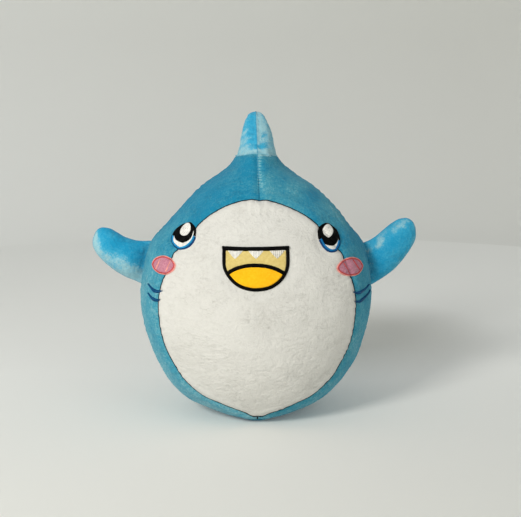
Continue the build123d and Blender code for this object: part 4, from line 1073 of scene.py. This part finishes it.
for tag, sx in (("left", -1), ("right", 1)):
    YZ = np.vstack([h.reshape(-1, 2) for h in halves])
    yy, zz2 = YZ.T
    de = poly_dist(YZ, far)
    on_rim = np.zeros((2, NS_, NW), bool)
    on_rim[:, :, 0] = True
    on_rim[:, NM - 1:, -1] = True
    on_rim[:, -1] = True
    de[on_rim.ravel()] = 0
    thick = np.interp(yy, [90, 95, 105, 115, 127, 136, 142, 147], [8.6, 9.0, 9.8, 9.8, 8.8, 7.0, 4.6, 1.5])
    reach = np.interp(yy, [90, 105, 127, 136, 142, 147], [9.5, 10.5, 10.0, 8.0, 5.0, 2.0])
    prof = (1 - (1 - np.clip(de / reach, 0, 1)) ** 2.1) ** 0.6
    flat = np.stack([sx * thick * prof, yy, zz2], 1)
    sarc = yy + 0.8 * zz2
    sp = np.stack([sarc, np.full_like(sarc, 4.0 * sx), np.zeros_like(sarc)], 1)
    d = (0.6 * noise(flat, 16.0, 90) + 0.5 * np.sin(2 * np.pi * (sarc / 6.5 + 0.5 * noise(sp, 9.0, 91))) * np.exp(-de / 5.0)) * np.clip(de / 2.5, 0, 1)
    d += pile(flat, 0.34, 9) * np.clip(de / 1.2, 0.2, 1) * (de > 0)
    flat[:, 0] += sx * d
    flat[de <= 0, 0] = 0
    F = np.vstack([grid_faces(NS_, NW), grid_faces(NS_, NW, base=NS_ * NW)[:, ::-1]])
    nap = np.clip(0.35 + 0.35 * noise(flat, 14.0, 92) + 0.15 * noise(flat, 5.0, 93) + 0.3 * smooth((3.5 - de) / 3.0), 0, 1)
    ob = make("tail_%s_fabric" % tag, flat, F, FINB, {"nap": nap})
    # sew the two halves along the middle line and drop the slivers at the tips
    import bmesh
    bm = bmesh.new(); bm.from_mesh(ob.data)
    bmesh.ops.remove_doubles(bm, verts=bm.verts, dist=0.00006)
    bmesh.ops.recalc_face_normals(bm, faces=bm.faces)
    if sum(f.normal.x * f.calc_area() for f in bm.faces) * sx < 0:
        bmesh.ops.reverse_faces(bm, faces=bm.faces)
    bm.to_mesh(ob.data); bm.free()
    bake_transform(ob)
    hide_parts(*(["tail_fin_left_panel", "tail_fin_stuffing"] if sx < 0 else ["tail_fin_right_panel"]))
tp = np.stack([np.zeros(nO + 1), np.append(outline[:, 0], outline[0, 0]), np.append(outline[:, 1], outline[0, 1])], 1)
th = tube("tail_seam_thread", tp, 0.32, SEAMPALE, None, [], True)
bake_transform(th)
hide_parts("tail_fin_seam")

# ------------------------------------------------------------------ stage, light and camera
# painted light: the floor glows behind the toy, with the glow left out in a patch behind and right of it so its cast
# shadow stays dark (painted shadow)
sm, nt, bs = new_mat("stage_floor_painted_glow", 0.85, 0.0, 0.5, (1, 1, 1, 1), 0.2)
bs.inputs["Base Color"].default_value = lin((226, 226, 221))
bs.inputs["Emission Color"].default_value = lin((222, 225, 228))
here = node(nt, "ShaderNodeTexCoord")
sep = node(nt, "ShaderNodeSeparateXYZ")
nt.links.new(here.outputs["Object"], sep.inputs["Vector"])
shadow_spot_dist = node(nt, "ShaderNodeVectorMath", operation="DISTANCE")
nt.links.new(here.outputs["Object"], shadow_spot_dist.inputs[0])
shadow_spot_dist.inputs[1].default_value = (0.12, 0.3, 0.0)
floor_glow_strength = node(nt, "ShaderNodeMath", operation="MULTIPLY")
nt.links.new(ramp(nt, sep.outputs["Y"], -0.3, 0.12, 0.0, 0.16), floor_glow_strength.inputs[0])
nt.links.new(ramp(nt, shadow_spot_dist.outputs["Value"], 0.08, 0.22, 0.0, 1.0), floor_glow_strength.inputs[1])
nt.links.new(floor_glow_strength.outputs[0], bs.inputs["Emission Strength"])
# painted light: the cove glows, more near the floor than higher up, and dims towards the right (painted shade)
wm, nt, bs = new_mat("cove_painted_glow", 0.9, 0.0, 0.5, (1, 1, 1, 1), 0.1)
bs.inputs["Base Color"].default_value = lin((226, 226, 221))
bs.inputs["Emission Color"].default_value = lin((222, 225, 228))
glow = node(nt, "ShaderNodeTexCoord")
sep = node(nt, "ShaderNodeSeparateXYZ")
nt.links.new(glow.outputs["Object"], sep.inputs["Vector"])


def plus(a, b, op="ADD"):
    k = node(nt, "ShaderNodeMath", operation=op)
    nt.links.new(a, k.inputs[0])
    nt.links.new(b, k.inputs[1])
    return k.outputs[0]


cove_glow_level = plus(ramp(nt, sep.outputs["Z"], 0.0, 0.45, 0.19, 0.115), ramp(nt, sep.outputs["Z"], 0.6, 1.2, 0.0, 0.075))
nt.links.new(plus(cove_glow_level, ramp(nt, sep.outputs["X"], -0.6, 0.6, 0.0, -0.1)), bs.inputs["Emission Strength"])
R0, RC, HT = 1150.0, 650.0, 2300.0
prof_ = [(R0 * k / 6, 0.0) for k in range(1, 7)]
prof_ += [(R0 + RC * math.sin(a), RC - RC * math.cos(a)) for a in np.linspace(0, math.pi / 2, 25)[1:]]
prof_.append((R0 + RC, HT))
NS = 96
cs = np.linspace(0, 2 * np.pi, NS, endpoint=False)
P = np.vstack([[[r * math.cos(a), r * math.sin(a), z] for a in cs] for r, z in prof_] + [[[0, 0, 0]]])
F = [tuple(k) for k in grid_faces(len(prof_), NS, True)[:, ::-1]]
flat_f = [k for k in F if max(k) < 6 * NS] + [(j, (j + 1) % NS, len(P) - 1) for j in range(NS)]
cove_f = [k for k in F if max(k) >= 6 * NS]
used = 6 * NS
floor_ob = make("stage_floor", np.vstack([P[:used], P[-1:]]), [tuple(used if i == len(P) - 1 else i for i in k) for k in flat_f], sm)
cove = make("stage_cove", P[5 * NS:-1], [tuple(i - 5 * NS for i in k) for k in cove_f], wm)

world = bpy.data.worlds.new("studio"); bpy.context.scene.world = world
world.use_nodes = True
bg = world.node_tree.nodes["Background"]
bg.inputs[0].default_value = (0.94, 0.97, 1.0, 1)
bg.inputs[1].default_value = 0.32


def area(name, loc, target, size, power, color=(1, 1, 1)):
    li = bpy.data.lights.new(name, "AREA")
    li.shape = "DISK"; li.size = size; li.energy = power; li.color = color
    ob = bpy.data.objects.new(name, li)
    bpy.context.scene.collection.objects.link(ob)
    ob.location = loc
    ob.visible_camera = False
    ob.rotation_euler = (Vector(target) - Vector(loc)).to_track_quat("-Z", "Y").to_euler()
    return ob


area("key", (-0.85, -1.15, 0.92), (0, 0, 0.14), 0.45, 16.7, (1.0, 0.985, 0.955))
area("fill", (0.9, -1.1, 1.0), (0, 0, 0.14), 1.0, 2.2, (0.95, 0.98, 1.0))

D, K = 0.977, 1.0075
el, az = math.radians(10.0), math.radians(-1.5)
T = Vector((0.0045, 0.0, 0.154))
back = Vector((math.sin(az) * math.cos(el), -math.cos(az) * math.cos(el), math.sin(el)))
cam = bpy.data.cameras.new("camera")
cam.sensor_width = 36.0
cam.lens = D * 1000 / K * 36.0 / 521.0
cam.clip_start = 0.05
co = bpy.data.objects.new("camera", cam)
bpy.context.scene.collection.objects.link(co)
co.location = T + back * D
co.rotation_euler = (-back).to_track_quat("-Z", "Y").to_euler()
bpy.context.scene.camera = co
bpy.context.scene.view_settings.view_transform = "Standard"
